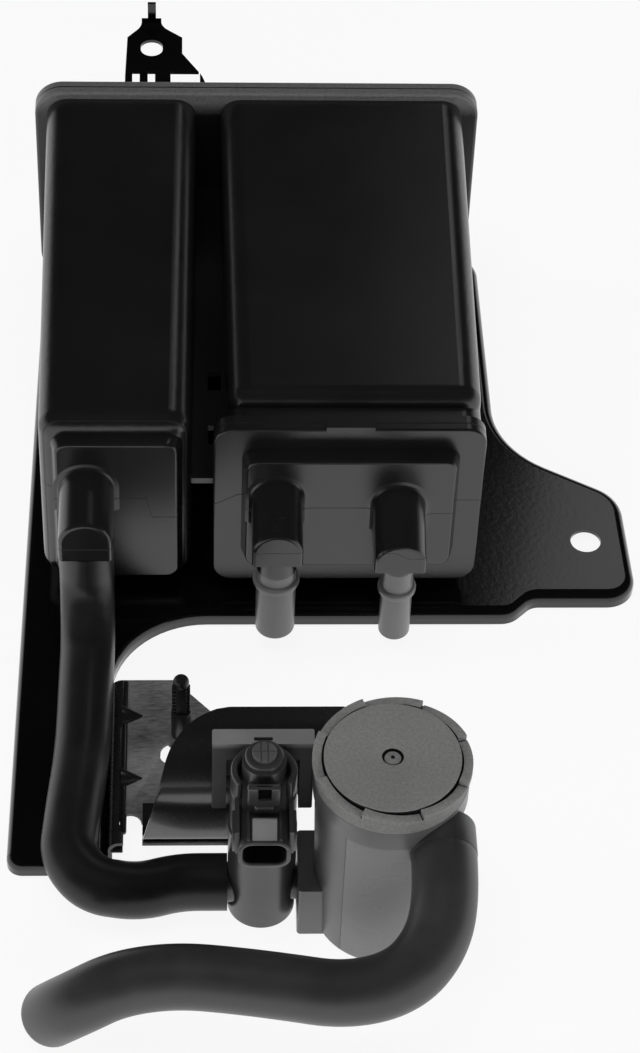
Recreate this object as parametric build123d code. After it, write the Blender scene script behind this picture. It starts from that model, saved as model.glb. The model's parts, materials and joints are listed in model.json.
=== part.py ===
from build123d import *
import math
import os

# Charcoal canister on its steel bracket, with its vent valve, fresh air filter and two hoses.
# Millimetres. X is to the right, Y away from the ports, Z up from the surface it rests on.
# The model is worked out in a frame whose X and Y zero lie near the left chamber's front,
# and is moved at the end so that the origin is under the middle of its box.

# Fits and walls that several pieces share. Shapes that make one moulding run into each other
# by JOIN, and a cut runs past the face that it opens by PAST.
SEAT_GAP = 0.2
JOIN = 0.5
PAST = 1.0
SHEET = 1.5
HOUSING_WALL = 2.6
VALVE_WALL = 2.0
FILTER_WALL = 2.2

# Bracket tray, leg and ear
TRAY_TOP = 7.1
TRAY_LEFT = -68.5
TRAY_RIGHT = 131.0
TRAY_FRONT = -55.0
TRAY_BACK = 166.0
TRAY_CORNER = 14.0
RIM_BEND = 4.0
LEG_INNER = -31.0
LEG_END = -182.0
LEG_TAPER = 3.0
LEG_CORNER = 6.0
INNER_CORNER = 38.0
EAR_REACH = 52.5
EAR_HOLE_INSET = 19.0
EAR_HOLE_FROM_EDGE = 31.0
EAR_HOLE_DIAMETER = 12.6
EAR_SETBACK = 9.0
EAR_ROOT_LENGTH = 88.0
EAR_BACK = 12.0
EAR_CORNER = 12.0
EAR_BLEND = 42.0
TRAY_HOLE_DIAMETER = 17.0
TRAY_SLOT_LENGTH = 18.0
TRAY_SLOT_WIDTH = 9.0

# Rising neck and far tab of the bracket
NECK_START = 198.0
TAB_TOP = 48.0
TAB_BEND = 241.0
TAB_END = 278.0
TAB_LEFT = -30.0
TAB_FLARE = 8.0
TAB_NARROW = -3.6
TAB_SLOT_WIDTH = 10.2
TAB_SLOT_LENGTH = 12.0
TAB_SLOT_X = -17.8
TAB_SLOT_Y = 261.6
TAB_LIP = 3.6
TONGUE_WIDTH = 3.8
TONGUE_HEIGHT = 9.3
NECK_BEND = 5.0
STRIP_WIDTH = 3.4

# Canister chambers
CHAMBER_BOTTOM = 13.5
CHAMBER_TOP = 102.0
CHAMBER_RISE = 6.0
CHAMBER_CORNER = 9.0
CHAMBER_DRAFT = 2.2
LEFT_CHAMBER_X = -59.0
LEFT_CHAMBER_WIDTH = 59.5
RIGHT_CHAMBER_X = 15.0
RIGHT_CHAMBER_WIDTH = 99.5
LEFT_FRONT = -41.0
RIGHT_FRONT = -27.0
RIM_FRONT = 149.0
RIM_THICKNESS = 4.2
RIM_PAST_LEFT = 7.3
RIM_PAST_RIGHT = 9.3
RIM_PAST_BOTTOM = 5.5
RIM_PAST_TOP = 9.0
RIM_LEFT = LEFT_CHAMBER_X - RIM_PAST_LEFT
RIM_RIGHT = RIGHT_CHAMBER_X + RIGHT_CHAMBER_WIDTH + RIM_PAST_RIGHT
RIM_BOTTOM = CHAMBER_BOTTOM - RIM_PAST_BOTTOM
RIM_TOP = CHAMBER_TOP + RIM_PAST_TOP
RIM_CORNER = 12.0
TOP_EDGE = 7.0
MOUTH_STEP = 0.5
NOSE_DROP = 6.0
NOSE_REACH = 12.0
NOSE_ROOT = 12.0
FLANGE_THICKNESS = 4.0
FLANGE_PAST_LEFT = 5.9
FLANGE_PAST_RIGHT = 1.1
FLANGE_STEP_BOTTOM = 0.5
FLANGE_STEP_TOP = 2.5
FLANGE_LEFT = RIGHT_CHAMBER_X - FLANGE_PAST_LEFT
FLANGE_RIGHT = RIGHT_CHAMBER_X + RIGHT_CHAMBER_WIDTH + FLANGE_PAST_RIGHT
FLANGE_BOTTOM = CHAMBER_BOTTOM + FLANGE_STEP_BOTTOM
FLANGE_TOP = CHAMBER_TOP - FLANGE_STEP_TOP
FLANGE_CORNER = 8.0
FLANGE_TAB_WIDTH = 19.0
FLANGE_TAB_DEPTH = 3.4
FLANGE_TAB_STAND = 1.2
WEB_TOP = 59.0
WEB_BOTTOM = 56.2
WEB_LEAD = 2.5
WEB_WINDOW_WIDTH = 5.4
WEB_WINDOW_LENGTH = 10.6
WEB_WINDOW_SHIFT = 2.2
WEB_WINDOWS = (30.7, 62.1)
FOOT_DIAMETER = 18.0
SCREW_DIAMETER = 4.0
SCREW_HEAD_DIAMETER = 9.0
SCREW_HEAD_HEIGHT = 2.6
SCREW_DEPTH = 6.0

# Raised panels on the two front faces
PANEL_EDGE = 2.0
PANEL_CORNER = 5.0
PANEL_ROUND = 1.2
LEFT_PANEL_DEPTH = 6.0
LEFT_PANEL_X = -54.5
LEFT_PANEL_WIDTH = 51.5
LEFT_PANEL_BOTTOM = 18.5
LEFT_PANEL_TOP = 95.0
RIGHT_PANEL_DEPTH = 7.5
RIGHT_PANEL_X = 20.2
RIGHT_PANEL_WIDTH = 85.6
RIGHT_PANEL_BOTTOM = 28.5
RIGHT_PANEL_TOP = 89.2

# Port bosses and their spigots
BOSS_END = -75.0
BOSS_FLARE = 2.5
BOSS_EDGE = 1.6
LEFT_BOSS_SLOPE = 2.9
TANK_BOSS_SLOPE = 7.0
PURGE_BOSS_SLOPE = 9.0
LEFT_BOSS_X = -40.6
LEFT_BOSS_WIDTH = 20.8
LEFT_BOSS_BOTTOM = 59.4
LEFT_BOSS_TOP = 79.1
TANK_BOSS_X = 34.1
TANK_BOSS_WIDTH = 19.9
TANK_BOSS_BOTTOM = 56.1
TANK_BOSS_TOP = 72.6
PURGE_BOSS_X = 82.2
PURGE_BOSS_WIDTH = 20.4
PURGE_BOSS_BOTTOM = 52.4
PURGE_BOSS_TOP = 66.9
SPIGOT_Y = -64.0
TANK_SPIGOT_DIAMETER = 15.8
TANK_SPIGOT_TIP = 9.5
TANK_BEAD_Z = 38.0
PURGE_SPIGOT_DIAMETER = 12.6
PURGE_SPIGOT_TIP = 7.0
PURGE_BEAD_Z = 33.0
BEAD_STAND = 1.4
BEAD_HEIGHT = 3.0
BEAD_EDGE = 1.0
SPIGOT_EDGE = 1.5
SPIGOT_WALL = 2.0
VENT_SPIGOT_LENGTH = 14.0

# Carbon beds, pads, pressure plates and springs
PAD_THICKNESS = 6.0
PLATE_THICKNESS = 3.0
SPRING_LENGTH = 16.0
SPRING_WIRE = 2.0
SPRING_DIAMETER = 26.0
SPRING_TURNS = 3.5
SPRING_PLAY = 0.2
LEFT_SPRING_SPREAD = 22.0
RIGHT_SPRING_SPREAD = 24.0
PLATE_HOLE = 5.0
PLATE_HOLE_PITCH = 11.0
PLATE_HOLE_ROWS = 6
PLATE_MARGIN = 12.0
COVER_PLATE = 2.6
COVER_BAND = 4.3
COVER_RIB = 2.0
COVER_RIB_WIDTH = 2.4
COVER_RIB_INSET_X = 14.0
COVER_RIB_INSET_Z = 12.0

# Vent valve
VALVE_X = 26.5
VALVE_Y = -195.0
VALVE_DIAMETER = 25.2
VALVE_BOTTOM = 0.6
VALVE_SPLIT = 48.0
COIL_DIAMETER = 24.2
COIL_TOP = 71.0
COIL_CROWN = 2.4
BOBBIN_FLANGE = 1.4
NECK_DIAMETER = 16.0
NECK_TOP = 88.0
NECK_RING = 14.0
PORT_Z = 13.0
PORT_DIAMETER = 15.0
PORT_LENGTH = 8.5
OUTLET_DIAMETER = 13.0
OUTLET_LENGTH = 7.0
SEAL_WALL = 1.2
SEAL_WIDTH = 2.4
SEAT_Z = 24.0
VALVE_BORE = 17.0
SHROUD_WIDTH = 18.6
SHROUD_HEIGHT = 14.0
SHROUD_Z = 62.0
SHROUD_END = -220.0
SHROUD_WALL = 1.4
LATCH_WIDTH = 11.6
LATCH_HEIGHT = 12.0
LATCH_TOP = 80.0
LATCH_HOLE = 5.0
LATCH_DEPTH = 12.0
CAP_DISC_DIAMETER = 9.0
CAP_DISC_STAND = 1.6
CAP_DISC_SLOT = 2.2
CAP_DISC_SLOT_DEPTH = 1.0
PLUNGER_DIAMETER = 6.0
PLUNGER_TOP = 55.0
PLUNGER_COLLAR = 1.8
SEAL_THICKNESS = 2.4
BOBBIN_DIAMETER = 19.4
BOBBIN_CORE = 9.4
BLADE_WIDTH = 2.8
BLADE_SHEET = 0.8
BLADE_LENGTH = 8.5
BLADE_SPREAD = 3.6
WINDING_INSET = 0.8

# Plastic holder of the valve
HOLDER_LEFT = 8.0
HOLDER_WIDTH = 37.0
HOLDER_BACK = -176.0
HOLDER_DEPTH = 7.0
HOLDER_TOP = 79.0
HOLDER_BOTTOM = 42.0
HOLDER_BAR = 9.0
HOLDER_LEG = 5.2
HOLDER_FOOT = 3.0
HOLDER_RISER = 4.0
HOLDER_FOOT_LENGTH = 17.0
HOLDER_PEG_DIAMETER = 5.0
HOLDER_PEG_MARGIN = 0.5
HOLDER_SLOT_WIDTH = 6.8
HOLDER_SLOT_DEPTH = 2.5

# Plates that carry the valve
CLIP_PLATE_TOP = 12.0
CLIP_PLATE_BACK = -95.0
CLIP_PLATE_RIGHT = 30.0
CLIP_PLATE_BEND = 4.5
CLIP_HOLE_X = -3.4
CLIP_HOLE_Y = -122.6
ROUND_HOLE_X = -7.6
ROUND_HOLE_Y = -133.5
ROUND_HOLE_DIAMETER = 8.0
KEYHOLE_X = -22.6
KEYHOLE_Y = -166.0
KEYHOLE_DIAMETER = 8.4
KEYHOLE_MOUTH = 5.2
KEYHOLE_FLARE = 2.0
SHELF_TOP = 55.0
SHELF_BACK = -145.0
SHELF_LEFT = -12.0
SHELF_RIGHT = 50.0
SHELF_CORNER = 29.0
SHELF_BEND = 12.0
SKIRT_FOOT_SPREAD = 5.5
SKIRT_RIGHT = 36.0
SKIRT_FOOT = 26.0
SKIRT_FOOT_BEND = 4.0

# Push-in tree clip
CLIP_HEIGHT = 34.0
CLIP_STEM = 4.4
CLIP_RIB_DIAMETER = 6.8
CLIP_RIB_PITCH = 2.6
CLIP_RIBS = 6
CLIP_BALL = 6.6
CLIP_HEAD = 12.0

# Fresh air filter
FILTER_X = 72.0
FILTER_Y = -198.0
CAP_DIAMETER = 57.4
CAP_OVERHANG = 1.2
CAP_TOP = 90.0
CAP_CROWN = 2.4
CAP_EDGE = 0.8
CAP_LUGS = 6
CAP_LUG_TURN = 12.0
CAP_LUG_GAP = 1.0
CAP_RIM_SHARE = 0.89
CAP_GROOVE_WIDTH = 0.5
CAP_GROOVE_DEPTH = 0.7
CAP_PLUG_LENGTH = 4.0
CAP_PLUG_WALL = 2.3
FILTER_BODY_TOP = 81.0
FILTER_TOP_DIAMETER = CAP_DIAMETER - 2 * CAP_OVERHANG
FILTER_TAPER = 1.9
FILTER_BOTTOM_DIAMETER = FILTER_TOP_DIAMETER - 2 * FILTER_TAPER
FILTER_COLLAR_STAND = 0.5
FILTER_COLLAR = 9.0
FILTER_FLOOR_EDGE = 2.0
BOX_LEFT = 39.7
BOX_FRONT = -209.5
BOX_BACK = -181.0
BOX_TOP = 26.0
BOX_EDGE = 1.5
SOCKET_DEPTH = 10.0
AIR_PORT_X = 90.0
AIR_PORT_Z = 67.5
AIR_PORT_COLLAR = 23.0
AIR_PORT_COLLAR_BACK = -213.0
AIR_PORT_FACE = -225.0
AIR_PORT_EDGE = 3.0
AIR_PORT_DIAMETER = 16.6
AIR_PORT_LENGTH = 8.5
ELEMENT_PLEATS = 24
ELEMENT_GAP = 0.8
ELEMENT_WALL = 10.0
ELEMENT_SLEEVE = 4.0
ELEMENT_RING = 2.0

# Hoses
VENT_HOSE_DIAMETER = 21.5
VENT_HOSE_BORE = 15.2
AIR_HOSE_DIAMETER = 23.6
AIR_HOSE_BORE = 16.8
VENT_HOSE_ROUTE = [
    (-40.6, -64.85, 35.0),
    (-40.2, -82.0, 21.5),
    (-41.0, -138.0, 20.5),
    (-44.0, -168.0, 20.0),
    (-45.5, -187.0, 18.5),
    (-36.5, -199.3, 17.0),
    (-19.0, -201.0, 15.0),
    (-4.0, -195.0, 13.0),
]
AIR_HOSE_ROUTE = [
    (90.0, -241.0, 67.5),
    (86.5, -256.5, 59.5),
    (75.0, -266.8, 50.5),
    (55.0, -267.5, 43.0),
    (32.0, -260.0, 38.5),
    (13.4, -256.4, 37.4),
    (-1.8, -254.4, 36.9),
    (-15.6, -254.7, 35.9),
    (-27.6, -256.4, 33.8),
    (-38.3, -257.7, 27.0),
    (-45.7, -255.7, 18.5),
    (-49.9, -251.6, 9.5),
]


def front_plane(y):
    """Sketch plane at depth y whose x is X and whose y is Z."""
    return Plane(origin=(0, y, 0), x_dir=(1, 0, 0), z_dir=(0, -1, 0))


def front_rect(x0, x1, z0, z1, radius, y):
    """Rounded rectangle on the sketch plane at depth y."""
    place = front_plane(y) * Pos((x0 + x1) / 2, (z0 + z1) / 2)
    return place * RectangleRounded(x1 - x0, z1 - z0, radius)


def flat_block(x0, x1, z0, z1, radius, y0, y1):
    """Block from y0 to y1 with rounded long edges and no draft."""
    return extrude(front_rect(x0, x1, z0, z1, radius, y0), -(y1 - y0))


def box_between(x0, x1, y0, y1, z0, z1):
    """Plain box given by its faces."""
    size = (x1 - x0, y1 - y0, z1 - z0)
    return Pos((x0 + x1) / 2, (y0 + y1) / 2, (z0 + z1) / 2) * Box(*size)


def upright(x, y, z0, z1, diameter):
    """Vertical round bar."""
    return Pos(x, y, (z0 + z1) / 2) * Cylinder(diameter / 2, z1 - z0)


def along_y(x, z, y0, y1, diameter):
    """Round bar along Y."""
    return Pos(x, (y0 + y1) / 2, z) * Rot(90, 0, 0) * Cylinder(diameter / 2, y1 - y0)


def along_x(y, z, x0, x1, diameter):
    """Round bar along X."""
    return Pos((x0 + x1) / 2, y, z) * Rot(0, 90, 0) * Cylinder(diameter / 2, x1 - x0)


def plan_face(points, radii):
    """Face in plan from corner points, each with its own corner radius."""
    return make_face(FilletPolyline(*points, radius=radii, close=True))


def bent_strip(points, radii, plane, start, length):
    """Sheet of one thickness that follows a bent line, its outer face on the line."""
    line = FilletPolyline(*points, radius=radii)
    section = make_face(offset(line, amount=SHEET, side=Side.RIGHT))
    return extrude(plane.offset(start) * section, length)


def edges_at(solid, axis, value, tolerance=0.05):
    """Edges of a solid whose centre lies at one place along an axis."""
    low, high = value - tolerance, value + tolerance
    return solid.edges().filter_by_position(axis, low, high)


def tray_outline(inset):
    """Plan of the tray, leg and ear, drawn smaller by inset on every side."""
    left, right = TRAY_LEFT + inset, TRAY_RIGHT - inset
    front, back = TRAY_FRONT + inset, TRAY_BACK - inset
    ear_right = TRAY_RIGHT + EAR_REACH - inset
    ear_front = TRAY_FRONT + EAR_SETBACK + inset
    inner = LEG_INNER - inset
    points = [
        (left - LEG_TAPER * 0.3, LEG_END + inset),
        (inner, LEG_END + inset),
        (inner, front),
        (right, front),
        (right + EAR_SETBACK, ear_front),
        (ear_right, ear_front),
        (ear_right - 2.0, EAR_BACK - inset),
        (right, TRAY_FRONT + EAR_SETBACK + EAR_ROOT_LENGTH - inset),
        (right - 1.0, back),
        (left + LEG_TAPER, back),
    ]
    radii = [
        LEG_CORNER - inset,
        LEG_CORNER - inset,
        INNER_CORNER + inset,
        10.0 - inset,
        7.0 + inset,
        EAR_CORNER - inset,
        18.0 - inset,
        EAR_BLEND + inset,
        TRAY_CORNER - inset,
        TRAY_CORNER - inset,
    ]
    return plan_face(points, radii)


def pressed_tray():
    """Tray, leg and ear: a sheet with its edge turned down all round."""
    outer = extrude(tray_outline(0), TRAY_TOP)
    outer = fillet(edges_at(outer, Axis.Z, TRAY_TOP), RIM_BEND)
    inner = extrude(tray_outline(SHEET), TRAY_TOP - SHEET)
    inner = fillet(edges_at(inner, Axis.Z, TRAY_TOP - SHEET), RIM_BEND - SHEET)
    return outer - inner


def far_neck():
    """Neck that rises behind the canister to the far tab and its locating tongue."""
    start = TRAY_BACK - TRAY_CORNER
    rise = TAB_BEND - (TAB_TOP - TRAY_TOP)
    points = [
        (start, TRAY_TOP),
        (rise, TRAY_TOP),
        (TAB_BEND, TAB_TOP),
        (TAB_END, TAB_TOP),
        (TAB_END, TAB_TOP + TAB_LIP + TONGUE_HEIGHT),
    ]
    radii = [NECK_BEND, NECK_BEND, SHEET * 1.6]
    width = TAB_FLARE - TAB_LEFT + 12.0
    strip = bent_strip(points, radii, Plane.YZ, TAB_LEFT - 6.0, width)
    plan = [
        (TAB_LEFT - 5.0, start - 1.0),
        (TAB_FLARE + 5.0, start - 1.0),
        (TAB_FLARE, TAB_BEND - 4.0),
        (TAB_NARROW, TAB_SLOT_Y - 4.0),
        (TAB_NARROW, TAB_SLOT_Y + 8.0),
        (TAB_SLOT_X + 4.4, TAB_END),
        (TAB_SLOT_X + 4.4, TAB_END + 4.0),
        (TAB_SLOT_X - 4.8, TAB_END + 4.0),
        (TAB_SLOT_X - 4.8, TAB_END),
        (TAB_LEFT + 0.8, TAB_SLOT_Y + 8.0),
        (TAB_LEFT, TAB_BEND - 4.0),
    ]
    strip &= extrude(make_face(Polyline(*plan, close=True)), TAB_TOP + 40.0)
    lip_top = TAB_TOP + TAB_LIP
    for side in (-1, 1):
        x0 = TAB_SLOT_X + side * TONGUE_WIDTH / 2
        x1 = TAB_SLOT_X + side * 12.0
        strip -= box_between(
            min(x0, x1), max(x0, x1), TAB_END - 6.0, TAB_END + 6.0, lip_top, lip_top + 20.0
        )
    slot = SlotOverall(TAB_SLOT_LENGTH, TAB_SLOT_WIDTH, rotation=90)
    strip -= Pos(TAB_SLOT_X, TAB_SLOT_Y, TAB_TOP - 6.0) * extrude(slot, 12.0)
    strip_edges = [
        (TAB_LEFT + STRIP_WIDTH, TAB_LEFT + 2 * STRIP_WIDTH),
        (TAB_SLOT_X - STRIP_WIDTH / 2, TAB_SLOT_X + STRIP_WIDTH / 2),
        (TAB_SLOT_X + 2.6 * STRIP_WIDTH, TAB_FLARE - STRIP_WIDTH),
    ]
    for x0, x1 in strip_edges:
        strip -= box_between(x0, x1, TAB_BEND - 24.0, TAB_BEND + 3.0, 0, TAB_TOP + 5.0)
    return strip


def base_bracket():
    """One pressed and painted sheet: tray, leg, ear and the far neck."""
    tray = pressed_tray()
    neck_slot = box_between(
        TAB_LEFT - 5.0,
        TAB_FLARE + 5.0,
        TRAY_BACK - TRAY_CORNER,
        TRAY_BACK + 1.0,
        -1.0,
        TRAY_TOP + 1.0,
    )
    bracket = tray - neck_slot + far_neck()
    hole_x = TRAY_RIGHT + EAR_REACH - EAR_HOLE_INSET
    hole_y = TRAY_FRONT + EAR_SETBACK + EAR_HOLE_FROM_EDGE
    bracket -= upright(hole_x, hole_y, -1.0, TRAY_TOP + 1.0, EAR_HOLE_DIAMETER)
    valley_x = (LEFT_CHAMBER_X + LEFT_CHAMBER_WIDTH + FLANGE_LEFT) / 2
    bracket -= upright(valley_x, LEFT_FRONT + 28.0, -1.0, TRAY_TOP + 1.0, TRAY_HOLE_DIAMETER)
    slot = extrude(SlotOverall(TRAY_SLOT_LENGTH, TRAY_SLOT_WIDTH), TRAY_TOP + 2.0)
    bracket -= Pos((FLANGE_LEFT + FLANGE_RIGHT) / 2, LEFT_FRONT + 4.0, -1.0) * slot
    for x, y in foot_places():
        bracket -= upright(x, y, -1.0, TRAY_TOP + 1.0, SCREW_DIAMETER + 1.0)
    return bracket


def foot_places():
    """Centres of the four feet that the canister stands on."""
    left = LEFT_CHAMBER_X + FOOT_DIAMETER
    right = RIGHT_CHAMBER_X + RIGHT_CHAMBER_WIDTH - FOOT_DIAMETER
    near = RIGHT_FRONT + FOOT_DIAMETER
    far = RIM_FRONT - FOOT_DIAMETER
    return [(left, near), (right, near), (left, far), (right, far)]


def arch_section(x, half, bottom, top, y):
    """Outline of a port boss at one depth: flat bottom, straight sides, arched top."""
    spring = top - min(half, (top - bottom) * 0.9)
    outline = make_face(
        [
            Line((x - half, bottom), (x + half, bottom)),
            Line((x + half, bottom), (x + half, spring)),
            ThreePointArc((x + half, spring), (x, top), (x - half, spring)),
            Line((x - half, spring), (x - half, bottom)),
        ]
    )
    return front_plane(y) * outline


def arch_boss(x, width, bottom, top, slope, y_root):
    """Port boss whose arched top slopes down from a front face and flares into it."""
    half = width / 2
    root_top = top + slope
    neck = y_root - BOSS_FLARE
    tip = arch_section(x, half, bottom, top, BOSS_END)
    boss = loft([tip, arch_section(x, half, bottom, root_top, neck)])
    end_edges = edges_at(boss, Axis.Y, BOSS_END).filter_by_position(Axis.Z, bottom + 1.0, top + 1.0)
    boss = fillet(end_edges, BOSS_EDGE)
    steps = [(0.0, 0.0), (0.6, 0.15), (0.85, 0.45), (1.0, 1.0)]
    flare = [
        arch_section(
            x, half + BOSS_FLARE * out, bottom, root_top + BOSS_FLARE * out, neck + BOSS_FLARE * along
        )
        for along, out in steps
    ]
    boss += loft(flare, ruled=True)
    widest = arch_section(x, half + BOSS_FLARE, bottom, root_top + BOSS_FLARE, y_root)
    return boss + extrude(widest, -1.0)


def spigot(x, boss_bottom, diameter, tip, bead_z):
    """Quick-connect spigot that points down, with its bead."""
    bar = upright(x, SPIGOT_Y, tip, boss_bottom + 0.5, diameter)
    bar = fillet(edges_at(bar, Axis.Z, tip), SPIGOT_EDGE)
    low = bead_z - BEAD_HEIGHT / 2
    bead = upright(x, SPIGOT_Y, low, low + BEAD_HEIGHT, diameter + 2 * BEAD_STAND)
    bead = fillet(bead.edges().filter_by(GeomType.CIRCLE), BEAD_EDGE)
    return bar + bead


def spigot_bore(x, diameter, tip, boss_top, y_back):
    """Passage up a spigot and back through its boss."""
    bore = diameter - 2 * SPIGOT_WALL
    turn = boss_top - bore / 2 - 2.6
    up = upright(x, SPIGOT_Y, tip - 1.0, turn + bore / 2 * 0.6, bore)
    back = along_y(x, turn, SPIGOT_Y - bore / 2 * 0.6, y_back, bore)
    return up + back


def raised_panel(x, width, bottom, top, face, depth):
    """Rounded panel that stands proud of a front face."""
    root = front_rect(x, x + width, bottom, top, PANEL_CORNER, face + JOIN)
    left, right = x + PANEL_EDGE, x + width - PANEL_EDGE
    lip = front_rect(left, right, bottom + PANEL_EDGE, top, PANEL_CORNER, face - depth)
    panel = loft([root, lip])
    return fillet(edges_at(panel, Axis.Y, face - depth), PANEL_ROUND)


def chamber(x, width, front, inset):
    """One chamber of the canister, drawn smaller by inset on its long sides.

    It widens toward the rim, and its top rises more than its sides spread.
    """
    left, right = x + inset, x + width - inset
    bottom, top = CHAMBER_BOTTOM + inset, CHAMBER_TOP - inset
    radius, draft = CHAMBER_CORNER - inset, CHAMBER_DRAFT
    near = front_rect(left, right, bottom, top, radius, front)
    far = front_rect(left - draft, right + draft, bottom - draft, top + CHAMBER_RISE, radius, RIM_FRONT)
    return loft([near, far])


def slice_y(solid, y0, y1):
    """The stretch of a solid between two depths."""
    return solid & box_between(-300.0, 300.0, y0, y1, -50.0, 300.0)


def flange_plate(y0, y1, stand=0.0):
    """Plate of the port flange between two depths."""
    return flat_block(
        FLANGE_LEFT - stand,
        FLANGE_RIGHT + stand,
        FLANGE_BOTTOM - stand,
        FLANGE_TOP + stand,
        FLANGE_CORNER,
        y0,
        y1,
    )


def flange_face():
    """Depth at which the port cover meets the housing."""
    return RIGHT_FRONT - NOSE_REACH


def canister_housing():
    """Two-chamber moulding with a rear rim, a left port and a flange for the port cover."""
    left = chamber(LEFT_CHAMBER_X, LEFT_CHAMBER_WIDTH, LEFT_FRONT, 0)
    left = fillet(edges_at(left, Axis.Y, LEFT_FRONT), TOP_EDGE)
    right = chamber(RIGHT_CHAMBER_X, RIGHT_CHAMBER_WIDTH, RIGHT_FRONT, 0)
    right = fillet(edges_at(right, Axis.Y, RIGHT_FRONT), TOP_EDGE)
    right_end = RIGHT_CHAMBER_X + RIGHT_CHAMBER_WIDTH
    nose_top = CHAMBER_TOP - NOSE_DROP
    nose_bottom = CHAMBER_BOTTOM + 1.0
    nose_root = RIGHT_FRONT + NOSE_ROOT
    nose = flat_block(
        RIGHT_CHAMBER_X, right_end, nose_bottom, nose_top, FLANGE_CORNER, flange_face(), nose_root
    )
    rim = flat_block(
        RIM_LEFT, RIM_RIGHT, RIM_BOTTOM, RIM_TOP, RIM_CORNER, RIM_FRONT, RIM_FRONT + RIM_THICKNESS
    )
    rim = fillet(edges_at(rim, Axis.Y, RIM_FRONT), 1.2)
    web = box_between(
        LEFT_CHAMBER_X + LEFT_CHAMBER_WIDTH - 2.0,
        RIGHT_CHAMBER_X + 2.0,
        RIGHT_FRONT - WEB_LEAD,
        RIM_FRONT + 1.0,
        WEB_BOTTOM,
        WEB_TOP,
    )
    panel = raised_panel(
        LEFT_PANEL_X, LEFT_PANEL_WIDTH, LEFT_PANEL_BOTTOM, LEFT_PANEL_TOP, LEFT_FRONT, LEFT_PANEL_DEPTH
    )
    boss = arch_boss(
        LEFT_BOSS_X, LEFT_BOSS_WIDTH, LEFT_BOSS_BOTTOM, LEFT_BOSS_TOP, LEFT_BOSS_SLOPE,
        LEFT_FRONT - LEFT_PANEL_DEPTH,
    )
    body = left + right + nose + flange_plate(flange_face(), flange_face() + FLANGE_THICKNESS)
    body += rim + web + panel + boss
    for x, y in foot_places():
        body += upright(x, y, TRAY_TOP, CHAMBER_BOTTOM + 1.0, FOOT_DIAMETER)
    stem = upright(
        LEFT_BOSS_X, BOSS_END + VENT_HOSE_DIAMETER / 2 - 0.6,
        LEFT_BOSS_BOTTOM - VENT_SPIGOT_LENGTH, LEFT_BOSS_BOTTOM + 0.5, VENT_HOSE_BORE - SEAT_GAP,
    )
    body += fillet(edges_at(stem, Axis.Z, LEFT_BOSS_BOTTOM - VENT_SPIGOT_LENGTH), 1.2)
    cavity_end = RIM_FRONT + RIM_THICKNESS + 1.0
    chambers = (
        (LEFT_CHAMBER_X, LEFT_CHAMBER_WIDTH, LEFT_FRONT),
        (RIGHT_CHAMBER_X, RIGHT_CHAMBER_WIDTH, RIGHT_FRONT),
    )
    for x0, width, front in chambers:
        body -= slice_y(chamber(x0, width, front, HOUSING_WALL), front + HOUSING_WALL, cavity_end)
    for x0, width, front in chambers:
        grow = CHAMBER_DRAFT - HOUSING_WALL + MOUTH_STEP
        mouth_top = CHAMBER_TOP + CHAMBER_RISE - HOUSING_WALL + MOUTH_STEP
        body -= flat_block(
            x0 - grow, x0 + width + grow, CHAMBER_BOTTOM - grow, mouth_top,
            CHAMBER_CORNER - HOUSING_WALL + MOUTH_STEP, RIM_FRONT - 0.5, cavity_end,
        )
    body -= flat_block(
        RIGHT_CHAMBER_X + HOUSING_WALL, right_end - HOUSING_WALL, nose_bottom + HOUSING_WALL,
        nose_top - HOUSING_WALL, FLANGE_CORNER - HOUSING_WALL, flange_face() - PAST, nose_root,
    )
    bore = VENT_HOSE_BORE - SEAT_GAP - 2 * SPIGOT_WALL
    turn = LEFT_BOSS_TOP - bore / 2 - 3.4
    vent_y = BOSS_END + VENT_HOSE_DIAMETER / 2 - 0.6
    body -= upright(LEFT_BOSS_X, vent_y, LEFT_BOSS_BOTTOM - VENT_SPIGOT_LENGTH - 1.0, turn + 3.0, bore)
    body -= along_y(LEFT_BOSS_X, turn, vent_y - 3.0, LEFT_FRONT + HOUSING_WALL + 1.0, bore)
    valley_x = (LEFT_CHAMBER_X + LEFT_CHAMBER_WIDTH + RIGHT_CHAMBER_X) / 2 + WEB_WINDOW_SHIFT
    for back in WEB_WINDOWS:
        body -= box_between(
            valley_x - WEB_WINDOW_WIDTH / 2, valley_x + WEB_WINDOW_WIDTH / 2,
            LEFT_FRONT + back, LEFT_FRONT + back + WEB_WINDOW_LENGTH,
            WEB_BOTTOM - PAST, WEB_TOP + PAST,
        )
    for x, y in foot_places():
        body -= upright(x, y, TRAY_TOP - 1.0, TRAY_TOP + SCREW_DEPTH, SCREW_DIAMETER)
    return body


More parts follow.
